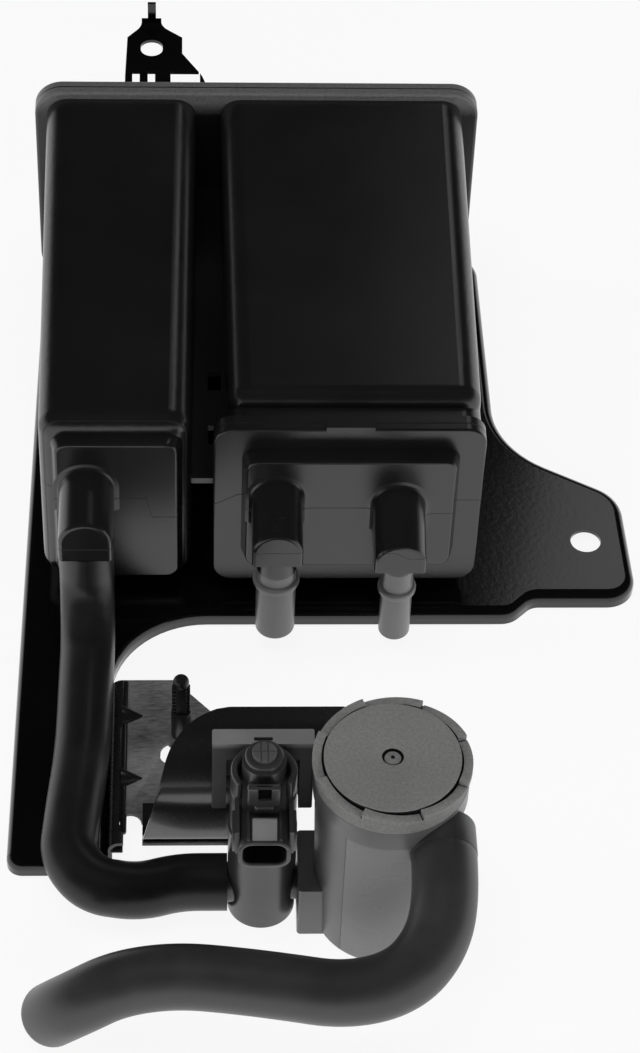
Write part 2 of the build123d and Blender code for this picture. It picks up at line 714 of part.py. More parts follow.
def port_cover():
    """Welded front cover of the right chamber with the tank and purge ports."""
    face = flange_face() - FLANGE_THICKNESS
    cover = flange_plate(face, flange_face())
    cover = fillet(edges_at(cover, Axis.Y, face), 1.0)
    cover += raised_panel(
        RIGHT_PANEL_X, RIGHT_PANEL_WIDTH, RIGHT_PANEL_BOTTOM, RIGHT_PANEL_TOP, face, RIGHT_PANEL_DEPTH
    )
    middle = (FLANGE_LEFT + FLANGE_RIGHT) / 2
    half = FLANGE_TAB_WIDTH / 2
    tab_top = FLANGE_TOP + FLANGE_TAB_STAND
    cover += box_between(
        middle - half, middle + half, face, face + FLANGE_TAB_DEPTH, FLANGE_TOP - 2.0, tab_top
    )
    front = face - RIGHT_PANEL_DEPTH
    cover += arch_boss(
        TANK_BOSS_X, TANK_BOSS_WIDTH, TANK_BOSS_BOTTOM, TANK_BOSS_TOP, TANK_BOSS_SLOPE, front
    )
    cover += arch_boss(
        PURGE_BOSS_X, PURGE_BOSS_WIDTH, PURGE_BOSS_BOTTOM, PURGE_BOSS_TOP, PURGE_BOSS_SLOPE, front
    )
    inner = front + HOUSING_WALL
    inset = PANEL_EDGE + HOUSING_WALL
    hollow = flat_block(
        RIGHT_PANEL_X + inset, RIGHT_PANEL_X + RIGHT_PANEL_WIDTH - inset,
        RIGHT_PANEL_BOTTOM + inset, RIGHT_PANEL_TOP - inset,
        PANEL_CORNER - PANEL_EDGE, inner, flange_face() + PAST,
    )
    ports = (
        (
            TANK_BOSS_X, TANK_BOSS_BOTTOM, TANK_BOSS_TOP,
            TANK_SPIGOT_DIAMETER, TANK_SPIGOT_TIP, TANK_BEAD_Z,
        ),
        (
            PURGE_BOSS_X, PURGE_BOSS_BOTTOM, PURGE_BOSS_TOP,
            PURGE_SPIGOT_DIAMETER, PURGE_SPIGOT_TIP, PURGE_BEAD_Z,
        ),
    )
    for x, bottom, top, diameter, tip, bead_z in ports:
        cover += spigot(x, bottom, diameter, tip, bead_z)
    cover -= hollow
    for x, bottom, top, diameter, tip, bead_z in ports:
        cover -= spigot_bore(x, diameter, tip, top, inner + PAST)
    return cover


def rear_cover():
    """Rear lid welded to the rim, ribbed outside, with a shallow passage inside."""
    start = RIM_FRONT + RIM_THICKNESS
    end = start + COVER_BAND
    lid = flat_block(RIM_LEFT, RIM_RIGHT, RIM_BOTTOM, RIM_TOP, RIM_CORNER, start, end)
    lid = fillet(edges_at(lid, Axis.Y, end), 1.2)
    lid -= flat_block(
        LEFT_CHAMBER_X, RIGHT_CHAMBER_X + RIGHT_CHAMBER_WIDTH, CHAMBER_BOTTOM, CHAMBER_TOP,
        CHAMBER_CORNER, start - 1.0, end - COVER_PLATE,
    )
    half = COVER_RIB_WIDTH / 2
    rib_left, rib_right = RIM_LEFT + COVER_RIB_INSET_X, RIM_RIGHT - COVER_RIB_INSET_X
    rib_low, rib_high = RIM_BOTTOM + COVER_RIB_INSET_Z, RIM_TOP - COVER_RIB_INSET_Z
    for share in (0.25, 0.5, 0.75):
        z = RIM_BOTTOM + (RIM_TOP - RIM_BOTTOM) * share
        lid += box_between(rib_left, rib_right, end - JOIN, end + COVER_RIB, z - half, z + half)
    for share in (0.17, 0.34, 0.5, 0.66, 0.83):
        x = RIM_LEFT + (RIM_RIGHT - RIM_LEFT) * share
        lid += box_between(x - half, x + half, end - JOIN, end + COVER_RIB, rib_low, rib_high)
    return lid


def bed_stack(front):
    """Depths of the pads, bed, plate and spring in one chamber, front to back."""
    pad_end = front + HOUSING_WALL + PAD_THICKNESS
    spring_end = RIM_FRONT + RIM_THICKNESS + COVER_BAND - COVER_PLATE
    plate_end = spring_end - SPRING_LENGTH
    plate_start = plate_end - PLATE_THICKNESS
    back_pad_start = plate_start - PAD_THICKNESS
    return {
        "front_pad": (front + HOUSING_WALL, pad_end),
        "carbon": (pad_end, back_pad_start),
        "back_pad": (back_pad_start, plate_start),
        "plate": (plate_start, plate_end),
        "spring": (plate_end, spring_end),
    }


def chamber_fill(x, width, front, y0, y1):
    """Closed block that fills one chamber between two depths."""
    return slice_y(chamber(x, width, front, HOUSING_WALL + SEAT_GAP), y0, y1)


def pressure_plate(x, width, front, y0, y1):
    """Perforated plate that the springs press against the bed."""
    plate = chamber_fill(x, width, front, y0, y1)
    columns = int((width - 2 * PLATE_MARGIN) // PLATE_HOLE_PITCH)
    middle_x, middle_z = x + width / 2, (CHAMBER_BOTTOM + CHAMBER_TOP) / 2
    holes = []
    for column in range(columns):
        for row in range(PLATE_HOLE_ROWS):
            hx = middle_x + (column - (columns - 1) / 2) * PLATE_HOLE_PITCH
            hz = middle_z + (row - (PLATE_HOLE_ROWS - 1) / 2) * PLATE_HOLE_PITCH
            holes.append(along_y(hx, hz, y0 - PAST, y1 + PAST, PLATE_HOLE))
    return plate - holes


def coil_spring(diameter, wire, length, turns):
    """Round coil spring about Z from 0 to length, wire ends cut flat by the seats."""
    pitch = (length - wire) / turns
    path = Helix(pitch=pitch, height=length - wire, radius=diameter / 2 - wire / 2)
    section = Plane(origin=path @ 0, z_dir=path % 0) * Circle(wire / 2)
    return Pos(0, 0, wire / 2) * sweep(section, path=path)


def bed_springs(places, y0):
    """Springs of one chamber, each along Y from the plate to the rear cover."""
    free_length = SPRING_LENGTH - 2 * SPRING_PLAY
    spring = coil_spring(SPRING_DIAMETER, SPRING_WIRE, free_length, SPRING_TURNS)
    turned = Rot(-90, 0, 0) * spring
    return [Pos(x, y0 + SPRING_PLAY, z) * turned for x, z in places]


def canister_screws():
    """Screws from under the tray into the feet."""
    under = TRAY_TOP - SHEET
    screws = []
    for x, y in foot_places():
        shank = upright(x, y, under - 0.5, TRAY_TOP + SCREW_DEPTH - 0.6, SCREW_DIAMETER - 0.1)
        head = upright(x, y, under - SCREW_HEAD_HEIGHT, under, SCREW_HEAD_DIAMETER)
        head = fillet(edges_at(head, Axis.Z, under - SCREW_HEAD_HEIGHT), 0.8)
        head -= Pos(x, y, under - SCREW_HEAD_HEIGHT - 0.1) * extrude(RegularPolygon(2.2, 6), 1.6)
        screws.append(head + shank)
    return screws


def clip_plate():
    """Flat plate with a flange welded to the leg; it carries the tree clip."""
    front = HOLDER_BACK
    points = [(LEG_INNER, 0.8), (LEG_INNER, CLIP_PLATE_TOP), (CLIP_PLATE_RIGHT, CLIP_PLATE_TOP)]
    plane = Plane.XZ
    strip = bent_strip(points, [CLIP_PLATE_BEND], plane, -CLIP_PLATE_BACK, CLIP_PLATE_BACK - front)
    plan = [
        (LEG_INNER - 1.0, front),
        (CLIP_PLATE_RIGHT, front),
        (CLIP_PLATE_RIGHT, CLIP_PLATE_BACK - 30.0),
        (16.0, CLIP_PLATE_BACK - 25.0),
        (-6.3, CLIP_PLATE_BACK),
        (LEG_INNER - 1.0, CLIP_PLATE_BACK),
    ]
    strip &= extrude(make_face(Polyline(*plan, close=True)), 20.0)
    strip -= upright(CLIP_HOLE_X, CLIP_HOLE_Y, 0, 20.0, CLIP_STEM + 0.2)
    strip -= upright(ROUND_HOLE_X, ROUND_HOLE_Y, 0, 20.0, ROUND_HOLE_DIAMETER)
    strip -= upright(KEYHOLE_X, KEYHOLE_Y, 0, 20.0, KEYHOLE_DIAMETER)
    mouth_left = KEYHOLE_X - KEYHOLE_MOUTH / 2
    mouth_right = KEYHOLE_X + KEYHOLE_MOUTH / 2 + KEYHOLE_FLARE
    strip -= box_between(mouth_left, mouth_right, front - PAST, KEYHOLE_Y, 0, 20.0)
    return strip


def valve_bracket():
    """Sheet that rises from the clip plate and folds back into a shelf behind the valve."""
    front = HOLDER_BACK
    points = [
        (front + SKIRT_FOOT, CLIP_PLATE_TOP),
        (front, CLIP_PLATE_TOP),
        (front, SHELF_TOP),
        (SHELF_BACK, SHELF_TOP),
    ]
    width = SHELF_RIGHT - SHELF_LEFT + SKIRT_FOOT_SPREAD
    start = SHELF_LEFT - SKIRT_FOOT_SPREAD
    strip = bent_strip(points, [SKIRT_FOOT_BEND, SHELF_BEND], Plane.YZ, start, width)
    shelf_plan = Pos((SHELF_LEFT + SHELF_RIGHT) / 2, (front + SHELF_BACK) / 2) * Rectangle(
        SHELF_RIGHT - SHELF_LEFT, SHELF_BACK - front
    )
    corner = shelf_plan.vertices().sort_by_distance((SHELF_LEFT, SHELF_BACK))[0]
    shelf_plan = fillet(corner, SHELF_CORNER)
    bend_start = SHELF_TOP - SHELF_BEND
    lower = box_between(start, SKIRT_RIGHT, front - PAST, front + SKIRT_FOOT, 0, bend_start)
    upper = extrude(shelf_plan, SHELF_TOP + PAST) & box_between(
        start, SHELF_RIGHT + PAST, front - PAST, SHELF_BACK + PAST, bend_start, SHELF_TOP + PAST
    )
    side = make_face(
        Polyline(
            (start, 0), (SHELF_RIGHT, 0), (SHELF_RIGHT, SHELF_TOP + 5.0),
            (SHELF_LEFT, SHELF_TOP + 5.0), (SHELF_LEFT, SHELF_TOP - SHELF_BEND), close=True,
        )
    )
    strip &= lower + upper
    strip &= extrude(front_plane(front - 2.0) * side, -60.0)
    bead_x = 4.5
    bead = upright(bead_x, front + 1.2, CLIP_PLATE_TOP + 4.5, CLIP_PLATE_TOP + 10.0, 6.0)
    strip += bead & box_between(-50, 50, front - 3.0, front + 0.2, 0, 60)
    peg_x, peg_y = holder_peg_place()
    strip -= upright(peg_x, peg_y, SHELF_TOP - 8.0, SHELF_TOP + 1.0, HOLDER_PEG_DIAMETER + 2 * SEAT_GAP)
    return strip


def holder_peg_place():
    """Centre of the peg that holds the valve holder to the shelf."""
    foot_end = HOLDER_BACK + HOLDER_FOOT_LENGTH
    return HOLDER_LEFT + HOLDER_WIDTH / 2, foot_end - HOLDER_PEG_DIAMETER / 2 - HOLDER_PEG_MARGIN


def tree_clip():
    """Push-in clip with a ribbed stem and a round tip."""
    z0 = CLIP_PLATE_TOP
    tip = z0 + CLIP_HEIGHT
    clip = upright(CLIP_HOLE_X, CLIP_HOLE_Y, z0 - SHEET - 2.0, tip - 2.0, CLIP_STEM)
    clip += upright(CLIP_HOLE_X, CLIP_HOLE_Y, z0 - SHEET - 2.2, z0 - SHEET, CLIP_HEAD)
    skirt = Pos(CLIP_HOLE_X, CLIP_HOLE_Y, z0 + 4.5) * Cone(2.9, 4.0, 9.0)
    clip += skirt
    first = z0 + 10.6
    for index in range(CLIP_RIBS):
        rib = Cone(CLIP_RIB_DIAMETER / 2, CLIP_STEM / 2 + 0.2, CLIP_RIB_PITCH * 0.62)
        clip += Pos(CLIP_HOLE_X, CLIP_HOLE_Y, first + index * CLIP_RIB_PITCH) * rib
    clip += Pos(CLIP_HOLE_X, CLIP_HOLE_Y, tip - CLIP_BALL / 2) * Sphere(CLIP_BALL / 2)
    return clip


def valve_holder():
    """Moulded frame in front of the skirt that the valve is pushed into."""
    front = HOLDER_BACK - HOLDER_DEPTH
    right = HOLDER_LEFT + HOLDER_WIDTH
    holder = box_between(HOLDER_LEFT, right, front, HOLDER_BACK, HOLDER_BOTTOM, HOLDER_TOP)
    holder = fillet(holder.edges().filter_by(Axis.Z), 0.8)
    leg_left, leg_right = HOLDER_LEFT + HOLDER_LEG, right - HOLDER_LEG
    bar_bottom = HOLDER_TOP - HOLDER_BAR
    window = box_between(
        leg_left, leg_right, front - PAST, HOLDER_BACK + PAST, HOLDER_BOTTOM - PAST, bar_bottom
    )
    holder -= window
    riser_front = HOLDER_BACK - HOLDER_RISER / 2
    foot = box_between(
        leg_left, leg_right, riser_front, HOLDER_BACK + HOLDER_FOOT_LENGTH,
        SHELF_TOP, SHELF_TOP + HOLDER_FOOT,
    )
    riser = box_between(
        leg_left, leg_right, riser_front, riser_front + HOLDER_RISER, SHELF_TOP, bar_bottom + PAST
    )
    peg_x, peg_y = holder_peg_place()
    peg = upright(peg_x, peg_y, SHELF_TOP - SHEET - 3.0, SHELF_TOP + 1.0, HOLDER_PEG_DIAMETER)
    barb = Pos(peg_x, peg_y, SHELF_TOP - SHEET - 1.7) * Cone(1.8, 3.4, 3.0)
    holder += foot + riser + peg + barb
    half = HOLDER_SLOT_WIDTH / 2
    slot_bottom = HOLDER_TOP - HOLDER_SLOT_DEPTH
    holder -= box_between(
        peg_x - half, peg_x + half, front + 1.6, front + 3.2, slot_bottom, HOLDER_TOP + PAST
    )
    return holder


def valve_body():
    """Lower valve moulding with its seat, hose port and filter port."""
    body = upright(VALVE_X, VALVE_Y, VALVE_BOTTOM, VALVE_SPLIT, VALVE_DIAMETER)
    body = fillet(edges_at(body, Axis.Z, VALVE_BOTTOM), 1.0)
    left = VALVE_X - VALVE_DIAMETER / 2
    right = VALVE_X + VALVE_DIAMETER / 2
    body += along_x(VALVE_Y, PORT_Z, left - PORT_LENGTH, VALVE_X - 4.0, PORT_DIAMETER)
    body += along_x(VALVE_Y, PORT_Z, VALVE_X + 4.0, right + OUTLET_LENGTH, OUTLET_DIAMETER)
    tongue = box_between(
        VALVE_X - 8.0, VALVE_X + 8.0, VALVE_Y + VALVE_DIAMETER / 2 - 4.0, HOLDER_BACK - SEAT_GAP,
        HOLDER_BOTTOM - 4.0, VALVE_SPLIT,
    )
    body += tongue
    body -= upright(VALVE_X, VALVE_Y, SEAT_Z, VALVE_SPLIT + 1.0, VALVE_BORE)
    body -= upright(VALVE_X, VALVE_Y, VALVE_BOTTOM + VALVE_WALL, SEAT_Z - VALVE_WALL, VALVE_BORE)
    body -= upright(VALVE_X, VALVE_Y, SEAT_Z - VALVE_WALL - 1.0, SEAT_Z + 1.0, PLUNGER_DIAMETER)
    body -= along_x(VALVE_Y, PORT_Z, left - PORT_LENGTH - 1.0, VALVE_X, PORT_DIAMETER - 2 * VALVE_WALL)
    rise_x = VALVE_X + VALVE_BORE / 2 + 1.2
    outlet_bore = OUTLET_DIAMETER - 3 * VALVE_WALL
    body -= along_x(VALVE_Y, PORT_Z, rise_x, right + OUTLET_LENGTH + PAST, outlet_bore)
    return body


def coil_cover():
    """Upper valve moulding: coil housing, neck and plug socket."""
    cover = upright(VALVE_X, VALVE_Y, VALVE_SPLIT, COIL_TOP, COIL_DIAMETER)
    cover = fillet(edges_at(cover, Axis.Z, COIL_TOP), 3.0)
    neck = upright(VALVE_X, VALVE_Y, COIL_TOP - 4.0, NECK_TOP - 2.5, NECK_DIAMETER)
    ring = upright(VALVE_X, VALVE_Y, NECK_TOP - 4.0, NECK_TOP, NECK_RING)
    ring = fillet(edges_at(ring, Axis.Z, NECK_TOP), 1.2)
    shroud_rect = front_rect(
        VALVE_X - SHROUD_WIDTH / 2, VALVE_X + SHROUD_WIDTH / 2,
        SHROUD_Z - SHROUD_HEIGHT / 2, SHROUD_Z + SHROUD_HEIGHT / 2, 5.0, SHROUD_END,
    )
    shroud = extrude(shroud_rect, -(VALVE_Y - SHROUD_END))
    latch = box_between(
        VALVE_X - LATCH_WIDTH / 2, VALVE_X + LATCH_WIDTH / 2, VALVE_Y - LATCH_DEPTH, VALVE_Y,
        LATCH_TOP - LATCH_HEIGHT, LATCH_TOP,
    )
    latch = fillet(latch.edges().filter_by(Axis.Y), 1.0)
    spine_half = LATCH_WIDTH / 2 + 2.0
    spine = box_between(
        VALVE_X - spine_half, VALVE_X + spine_half, VALVE_Y - LATCH_DEPTH + 1.5, VALVE_Y,
        SHROUD_Z, LATCH_TOP - 3.0,
    )
    cover += neck + ring + shroud + spine + latch
    for side in (-1, 1):
        x = VALVE_X + side * (SHROUD_WIDTH / 2 + 0.4)
        cover += box_between(x - 0.8, x + 0.8, SHROUD_END + 3.0, VALVE_Y, SHROUD_Z - 3.0, COIL_TOP)
    coil_room = BOBBIN_DIAMETER + 2 * SEAT_GAP
    cover -= upright(VALVE_X, VALVE_Y, VALVE_SPLIT - PAST, COIL_TOP - COIL_CROWN, coil_room)
    screw_room = CAP_DISC_DIAMETER + 2 * SEAT_GAP
    cover -= upright(VALVE_X, VALVE_Y, COIL_TOP - COIL_CROWN - PAST, NECK_TOP + PAST, screw_room)
    mouth = front_rect(
        VALVE_X - SHROUD_WIDTH / 2 + SHROUD_WALL, VALVE_X + SHROUD_WIDTH / 2 - SHROUD_WALL,
        SHROUD_Z - SHROUD_HEIGHT / 2 + SHROUD_WALL, SHROUD_Z + SHROUD_HEIGHT / 2 - SHROUD_WALL,
        3.8, SHROUD_END - 1.0,
    )
    socket_end = VALVE_Y - COIL_DIAMETER / 2 + 1.0
    cover -= extrude(mouth, -(socket_end - SHROUD_END + 1.0))
    hole_z = LATCH_TOP - LATCH_HEIGHT * 0.42
    cover -= box_between(
        VALVE_X - LATCH_HOLE / 2, VALVE_X + LATCH_HOLE / 2, VALVE_Y - LATCH_DEPTH - 1.0,
        VALVE_Y - LATCH_DEPTH + 3.0, hole_z - LATCH_HOLE / 2, hole_z + LATCH_HOLE / 2,
    )
    return cover


def coil_bobbin():
    """Flanged spool that the coil is wound on."""
    z0, z1 = VALVE_SPLIT, COIL_TOP - COIL_CROWN - SEAT_GAP
    spool = upright(VALVE_X, VALVE_Y, z0, z1, BOBBIN_CORE)
    spool += upright(VALVE_X, VALVE_Y, z0, z0 + BOBBIN_FLANGE, BOBBIN_DIAMETER)
    spool += upright(VALVE_X, VALVE_Y, z1 - BOBBIN_FLANGE, z1, BOBBIN_DIAMETER)
    return spool - upright(VALVE_X, VALVE_Y, z0 - PAST, z1 + PAST, PLUNGER_DIAMETER + 4 * SEAT_GAP)


def coil_winding():
    """Copper winding between the spool's flanges."""
    z0, z1 = VALVE_SPLIT + BOBBIN_FLANGE, COIL_TOP - COIL_CROWN - SEAT_GAP - BOBBIN_FLANGE
    winding = upright(VALVE_X, VALVE_Y, z0, z1, BOBBIN_DIAMETER - 2 * WINDING_INSET)
    return winding - upright(VALVE_X, VALVE_Y, z0 - PAST, z1 + PAST, BOBBIN_CORE)


def valve_plunger():
    """Steel plunger whose lower end carries the rubber seal."""
    low = SEAT_Z + SEAL_THICKNESS
    plunger = upright(VALVE_X, VALVE_Y, low, PLUNGER_TOP, PLUNGER_DIAMETER)
    plunger += upright(VALVE_X, VALVE_Y, low, low + PLUNGER_COLLAR, PLUNGER_DIAMETER + 5.0)
    return chamfer(edges_at(plunger, Axis.Z, PLUNGER_TOP), 0.5)


def plunger_seal():
    """Rubber disc between the plunger and the valve seat."""
    return upright(VALVE_X, VALVE_Y, SEAT_Z, SEAT_Z + SEAL_THICKNESS, PLUNGER_DIAMETER + 4.4)


def plunger_spring():
    """Small spring around the plunger, between its collar and the spool."""
    low = SEAT_Z + SEAL_THICKNESS + PLUNGER_COLLAR + SPRING_PLAY
    length = VALVE_SPLIT - low - SPRING_PLAY
    spring = coil_spring(PLUNGER_DIAMETER + 3.6, 0.8, length, 6)
    return Pos(VALVE_X, VALVE_Y, low) * spring


def pole_screw():
    """Slotted adjusting screw closed into the top of the neck."""
    top = NECK_TOP + CAP_DISC_STAND
    screw = upright(VALVE_X, VALVE_Y, COIL_TOP - COIL_CROWN, top, CAP_DISC_DIAMETER)
    screw = fillet(edges_at(screw, Axis.Z, top), 0.5)
    half = CAP_DISC_SLOT / 2
    return screw - box_between(
        VALVE_X - half, VALVE_X + half, VALVE_Y - CAP_DISC_DIAMETER, VALVE_Y + CAP_DISC_DIAMETER,
        top - CAP_DISC_SLOT_DEPTH, top + PAST,
    )


def terminal_blades():
    """Two contact blades inside the plug socket."""
    back = VALVE_Y - COIL_DIAMETER / 2 + PAST
    half_width, half_sheet = BLADE_WIDTH / 2, BLADE_SHEET / 2
    blades = []
    for side in (-1, 1):
        x = VALVE_X + side * BLADE_SPREAD
        blade = box_between(
            x - half_width, x + half_width, back - BLADE_LENGTH, back,
            SHROUD_Z - half_sheet, SHROUD_Z + half_sheet,
        )
        blades.append(chamfer(blade.faces().sort_by(Axis.Y)[0].edges(), 0.25))
    return blades


def port_seal():
    """Rubber ring between the valve's outlet and the filter's socket."""
    right = VALVE_X + VALVE_DIAMETER / 2
    x0 = max(right, BOX_LEFT) + 2.0
    ring = along_x(VALVE_Y, PORT_Z, x0, x0 + SEAL_WIDTH, OUTLET_DIAMETER + 2 * SEAL_WALL)
    return ring - along_x(VALVE_Y, PORT_Z, x0 - PAST, x0 + SEAL_WIDTH + PAST, OUTLET_DIAMETER)


def filter_housing():
    """Round filter housing with an outlet box and a side port for the air hose."""
    top = Plane.XY.offset(FILTER_BODY_TOP) * Circle(FILTER_TOP_DIAMETER / 2)
    shell = Pos(FILTER_X, FILTER_Y) * loft([Circle(FILTER_BOTTOM_DIAMETER / 2), top])
    shell = fillet(edges_at(shell, Axis.Z, 0), FILTER_FLOOR_EDGE)
    band = FILTER_TOP_DIAMETER + 2 * FILTER_COLLAR_STAND
    shell += upright(FILTER_X, FILTER_Y, FILTER_BODY_TOP - FILTER_COLLAR, FILTER_BODY_TOP, band)
    outlet = box_between(BOX_LEFT, FILTER_X, BOX_FRONT, BOX_BACK, 0, BOX_TOP)
    shell += fillet(outlet.edges().filter_by(Axis.Z), BOX_EDGE)
    collar = along_y(AIR_PORT_X, AIR_PORT_Z, AIR_PORT_FACE, AIR_PORT_COLLAR_BACK, AIR_PORT_COLLAR)
    shell += fillet(edges_at(collar, Axis.Y, AIR_PORT_COLLAR_BACK), AIR_PORT_EDGE)
    port_end = AIR_PORT_FACE - AIR_PORT_LENGTH
    shell += along_y(AIR_PORT_X, AIR_PORT_Z, port_end, AIR_PORT_FACE, AIR_PORT_DIAMETER)
    inner_top = Plane.XY.offset(FILTER_BODY_TOP + JOIN) * Circle(FILTER_TOP_DIAMETER / 2 - FILTER_WALL)
    inner_bottom = Plane.XY.offset(FILTER_WALL) * Circle(FILTER_BOTTOM_DIAMETER / 2 - FILTER_WALL)
    shell -= Pos(FILTER_X, FILTER_Y) * loft([inner_bottom, inner_top])
    shell -= box_between(
        BOX_LEFT + 12.0, FILTER_X - 10.0, BOX_FRONT + FILTER_WALL, BOX_BACK - FILTER_WALL,
        FILTER_WALL, BOX_TOP - FILTER_WALL,
    )
    seat = BOX_LEFT + SOCKET_DEPTH
    shell -= along_x(VALVE_Y, PORT_Z, BOX_LEFT - PAST, seat, OUTLET_DIAMETER + 2 * SEAL_WALL)
    shell -= along_x(VALVE_Y, PORT_Z, BOX_LEFT, seat + 4.0, OUTLET_DIAMETER - 3 * VALVE_WALL)
    bore = AIR_PORT_DIAMETER - 2 * SPIGOT_WALL
    shell -= along_y(AIR_PORT_X, AIR_PORT_Z, port_end - PAST, AIR_PORT_COLLAR_BACK - 2.0, bore)
    return shell


def filter_cap():
    """Snap-on cap with a stepped rim and lugs round its edge."""
    z0 = FILTER_BODY_TOP
    cap = upright(FILTER_X, FILTER_Y, z0, CAP_TOP, CAP_DIAMETER)
    cap = fillet(edges_at(cap, Axis.Z, CAP_TOP), CAP_EDGE)
    ring = CAP_DIAMETER * CAP_RIM_SHARE
    groove = upright(FILTER_X, FILTER_Y, CAP_TOP - CAP_GROOVE_DEPTH, CAP_TOP + PAST, ring)
    groove -= upright(FILTER_X, FILTER_Y, z0, CAP_TOP + 2 * PAST, ring - 2 * CAP_GROOVE_WIDTH)
    cap -= groove
    half = CAP_LUG_GAP / 2
    gap = box_between(ring / 2, CAP_DIAMETER, -half, half, z0 - PAST, CAP_TOP - CAP_CROWN)
    for index in range(CAP_LUGS):
        turn = index * 360.0 / CAP_LUGS + CAP_LUG_TURN
        cap -= Pos(FILTER_X, FILTER_Y) * Rot(0, 0, turn) * gap
    plug = cap_bore() + 2 * CAP_PLUG_WALL
    low = z0 - CAP_PLUG_LENGTH
    cap += upright(FILTER_X, FILTER_Y, low, z0 + JOIN, plug)
    cap -= upright(FILTER_X, FILTER_Y, low - PAST, CAP_TOP - CAP_CROWN, cap_bore())
    return cap


def cap_bore():
    """Clear width inside the plug of the cap, where the filter element ends."""
    return FILTER_TOP_DIAMETER - 2 * (FILTER_WALL + SEAT_GAP + CAP_PLUG_WALL)


def filter_element():
    """Pleated paper ring between the filter's floor and its cap."""
    outer = cap_bore() / 2 - ELEMENT_GAP
    inner = outer - ELEMENT_WALL
    points = []
    for index in range(ELEMENT_PLEATS * 2):
        radius = outer if index % 2 else inner + ELEMENT_SLEEVE
        angle = math.pi * index / ELEMENT_PLEATS
        points.append((radius * math.cos(angle), radius * math.sin(angle)))
    pleats = make_face(Polyline(*points, close=True)) - Circle(inner)
    z0, z1 = FILTER_WALL, FILTER_BODY_TOP - CAP_PLUG_LENGTH
    element = Pos(FILTER_X, FILTER_Y, z0) * extrude(pleats, z1 - z0)
    for low in (z0, z1 - ELEMENT_RING):
        high = low + ELEMENT_RING
        ring = upright(FILTER_X, FILTER_Y, low, high, 2 * outer)
        element += ring - upright(FILTER_X, FILTER_Y, low - PAST, high + PAST, 2 * inner)
    return element


def corner_radii(points):
    """Radius at each inner point of a route: as large as its two runs allow."""
    vectors = [Vector(*point) for point in points]
    radii = []
    for before, here, after in zip(vectors, vectors[1:], vectors[2:]):
        into, out = here - before, after - here
        half_turn = math.radians(into.get_angle(out)) / 2
        radii.append(0.45 * min(into.length, out.length) / math.tan(half_turn))
    return radii


def hose(name, points, diameter, bore):
    """Tube along straight runs joined by tangent arcs."""
    radii = corner_radii(points)
    path = FilletPolyline(*points, radius=radii)
    plane = Plane(origin=path @ 0, z_dir=path % 0)
    solid = sweep(plane * Circle(diameter / 2), path=path)
    solid -= sweep(plane * Circle(bore / 2), path=path)
    ring = math.pi / 4 * (diameter**2 - bore**2)
    share = solid.volume / (ring * path.length)
    print(name, "radii", [round(r, 1) for r in radii])
    print(name, "length", round(path.length, 1), "volume share", round(share, 4))
    return solid


def vent_hose():
    """Moulded hose from the left chamber's port to the vent valve."""
    start = (LEFT_BOSS_X, BOSS_END + VENT_HOSE_DIAMETER / 2 - 0.6, LEFT_BOSS_BOTTOM)
    end = (VALVE_X - VALVE_DIAMETER / 2 - 0.1, VALVE_Y, PORT_Z)
    return hose("vent_hose", [start, *VENT_HOSE_ROUTE, end], VENT_HOSE_DIAMETER, VENT_HOSE_BORE)


def air_hose():
    """Moulded fresh air hose from the filter's side port to its open end."""
    start = (AIR_PORT_X, AIR_PORT_FACE, AIR_PORT_Z)
    return hose("air_hose", [start, *AIR_HOSE_ROUTE], AIR_HOSE_DIAMETER, AIR_HOSE_BORE)


def chamber_nodes(side, x, width, front, springs):
    """All pieces inside one chamber, by node name."""
    stack = bed_stack(front)
    nodes = {
        f"front_pad_{side}": chamber_fill(x, width, front, *stack["front_pad"]),
        f"carbon_bed_{side}": chamber_fill(x, width, front, *stack["carbon"]),
        f"back_pad_{side}": chamber_fill(x, width, front, *stack["back_pad"]),
        f"pressure_plate_{side}": pressure_plate(x, width, front, *stack["plate"]),
        f"bed_spring_{side}": bed_springs(springs, stack["spring"][0]),
    }
    return nodes


def all_nodes():
    """Every node of the part by name."""
    middle_z = (CHAMBER_BOTTOM + CHAMBER_TOP) / 2
    left_middle = LEFT_CHAMBER_X + LEFT_CHAMBER_WIDTH / 2
    right_middle = RIGHT_CHAMBER_X + RIGHT_CHAMBER_WIDTH / 2
    nodes = {
        "base_bracket": base_bracket(),
        "canister_housing": canister_housing(),
        "port_cover": port_cover(),
        "rear_cover": rear_cover(),
        "canister_screws": canister_screws(),
        "clip_plate": clip_plate(),
        "valve_bracket": valve_bracket(),
        "tree_clip": tree_clip(),
        "valve_holder": valve_holder(),
        "valve_body": valve_body(),
        "coil_cover": coil_cover(),
        "coil_bobbin": coil_bobbin(),
        "coil_winding": coil_winding(),
        "valve_plunger": valve_plunger(),
        "plunger_seal": plunger_seal(),
        "plunger_spring": plunger_spring(),
        "pole_screw": pole_screw(),
        "terminal_blades": terminal_blades(),
        "port_seal": port_seal(),
        "filter_housing": filter_housing(),
        "filter_cap": filter_cap(),
        "filter_element": filter_element(),
        "vent_hose": vent_hose(),
        "air_hose": air_hose(),
    }
    left_springs = [
        (left_middle, middle_z - LEFT_SPRING_SPREAD),
        (left_middle, middle_z + LEFT_SPRING_SPREAD),
    ]
    right_springs = [
        (right_middle - RIGHT_SPRING_SPREAD, middle_z),
        (right_middle + RIGHT_SPRING_SPREAD, middle_z),
    ]
    left = (LEFT_CHAMBER_X, LEFT_CHAMBER_WIDTH, LEFT_FRONT)
    right = (RIGHT_CHAMBER_X, RIGHT_CHAMBER_WIDTH, RIGHT_FRONT)
    nodes.update(chamber_nodes("left", *left, left_springs))
    nodes.update(chamber_nodes("right", *right, right_springs))
    return nodes


def as_shape(item):
    """A node as one shape, whether it is one solid or a group."""
    if isinstance(item, list):
        return Compound(children=item)
    return item


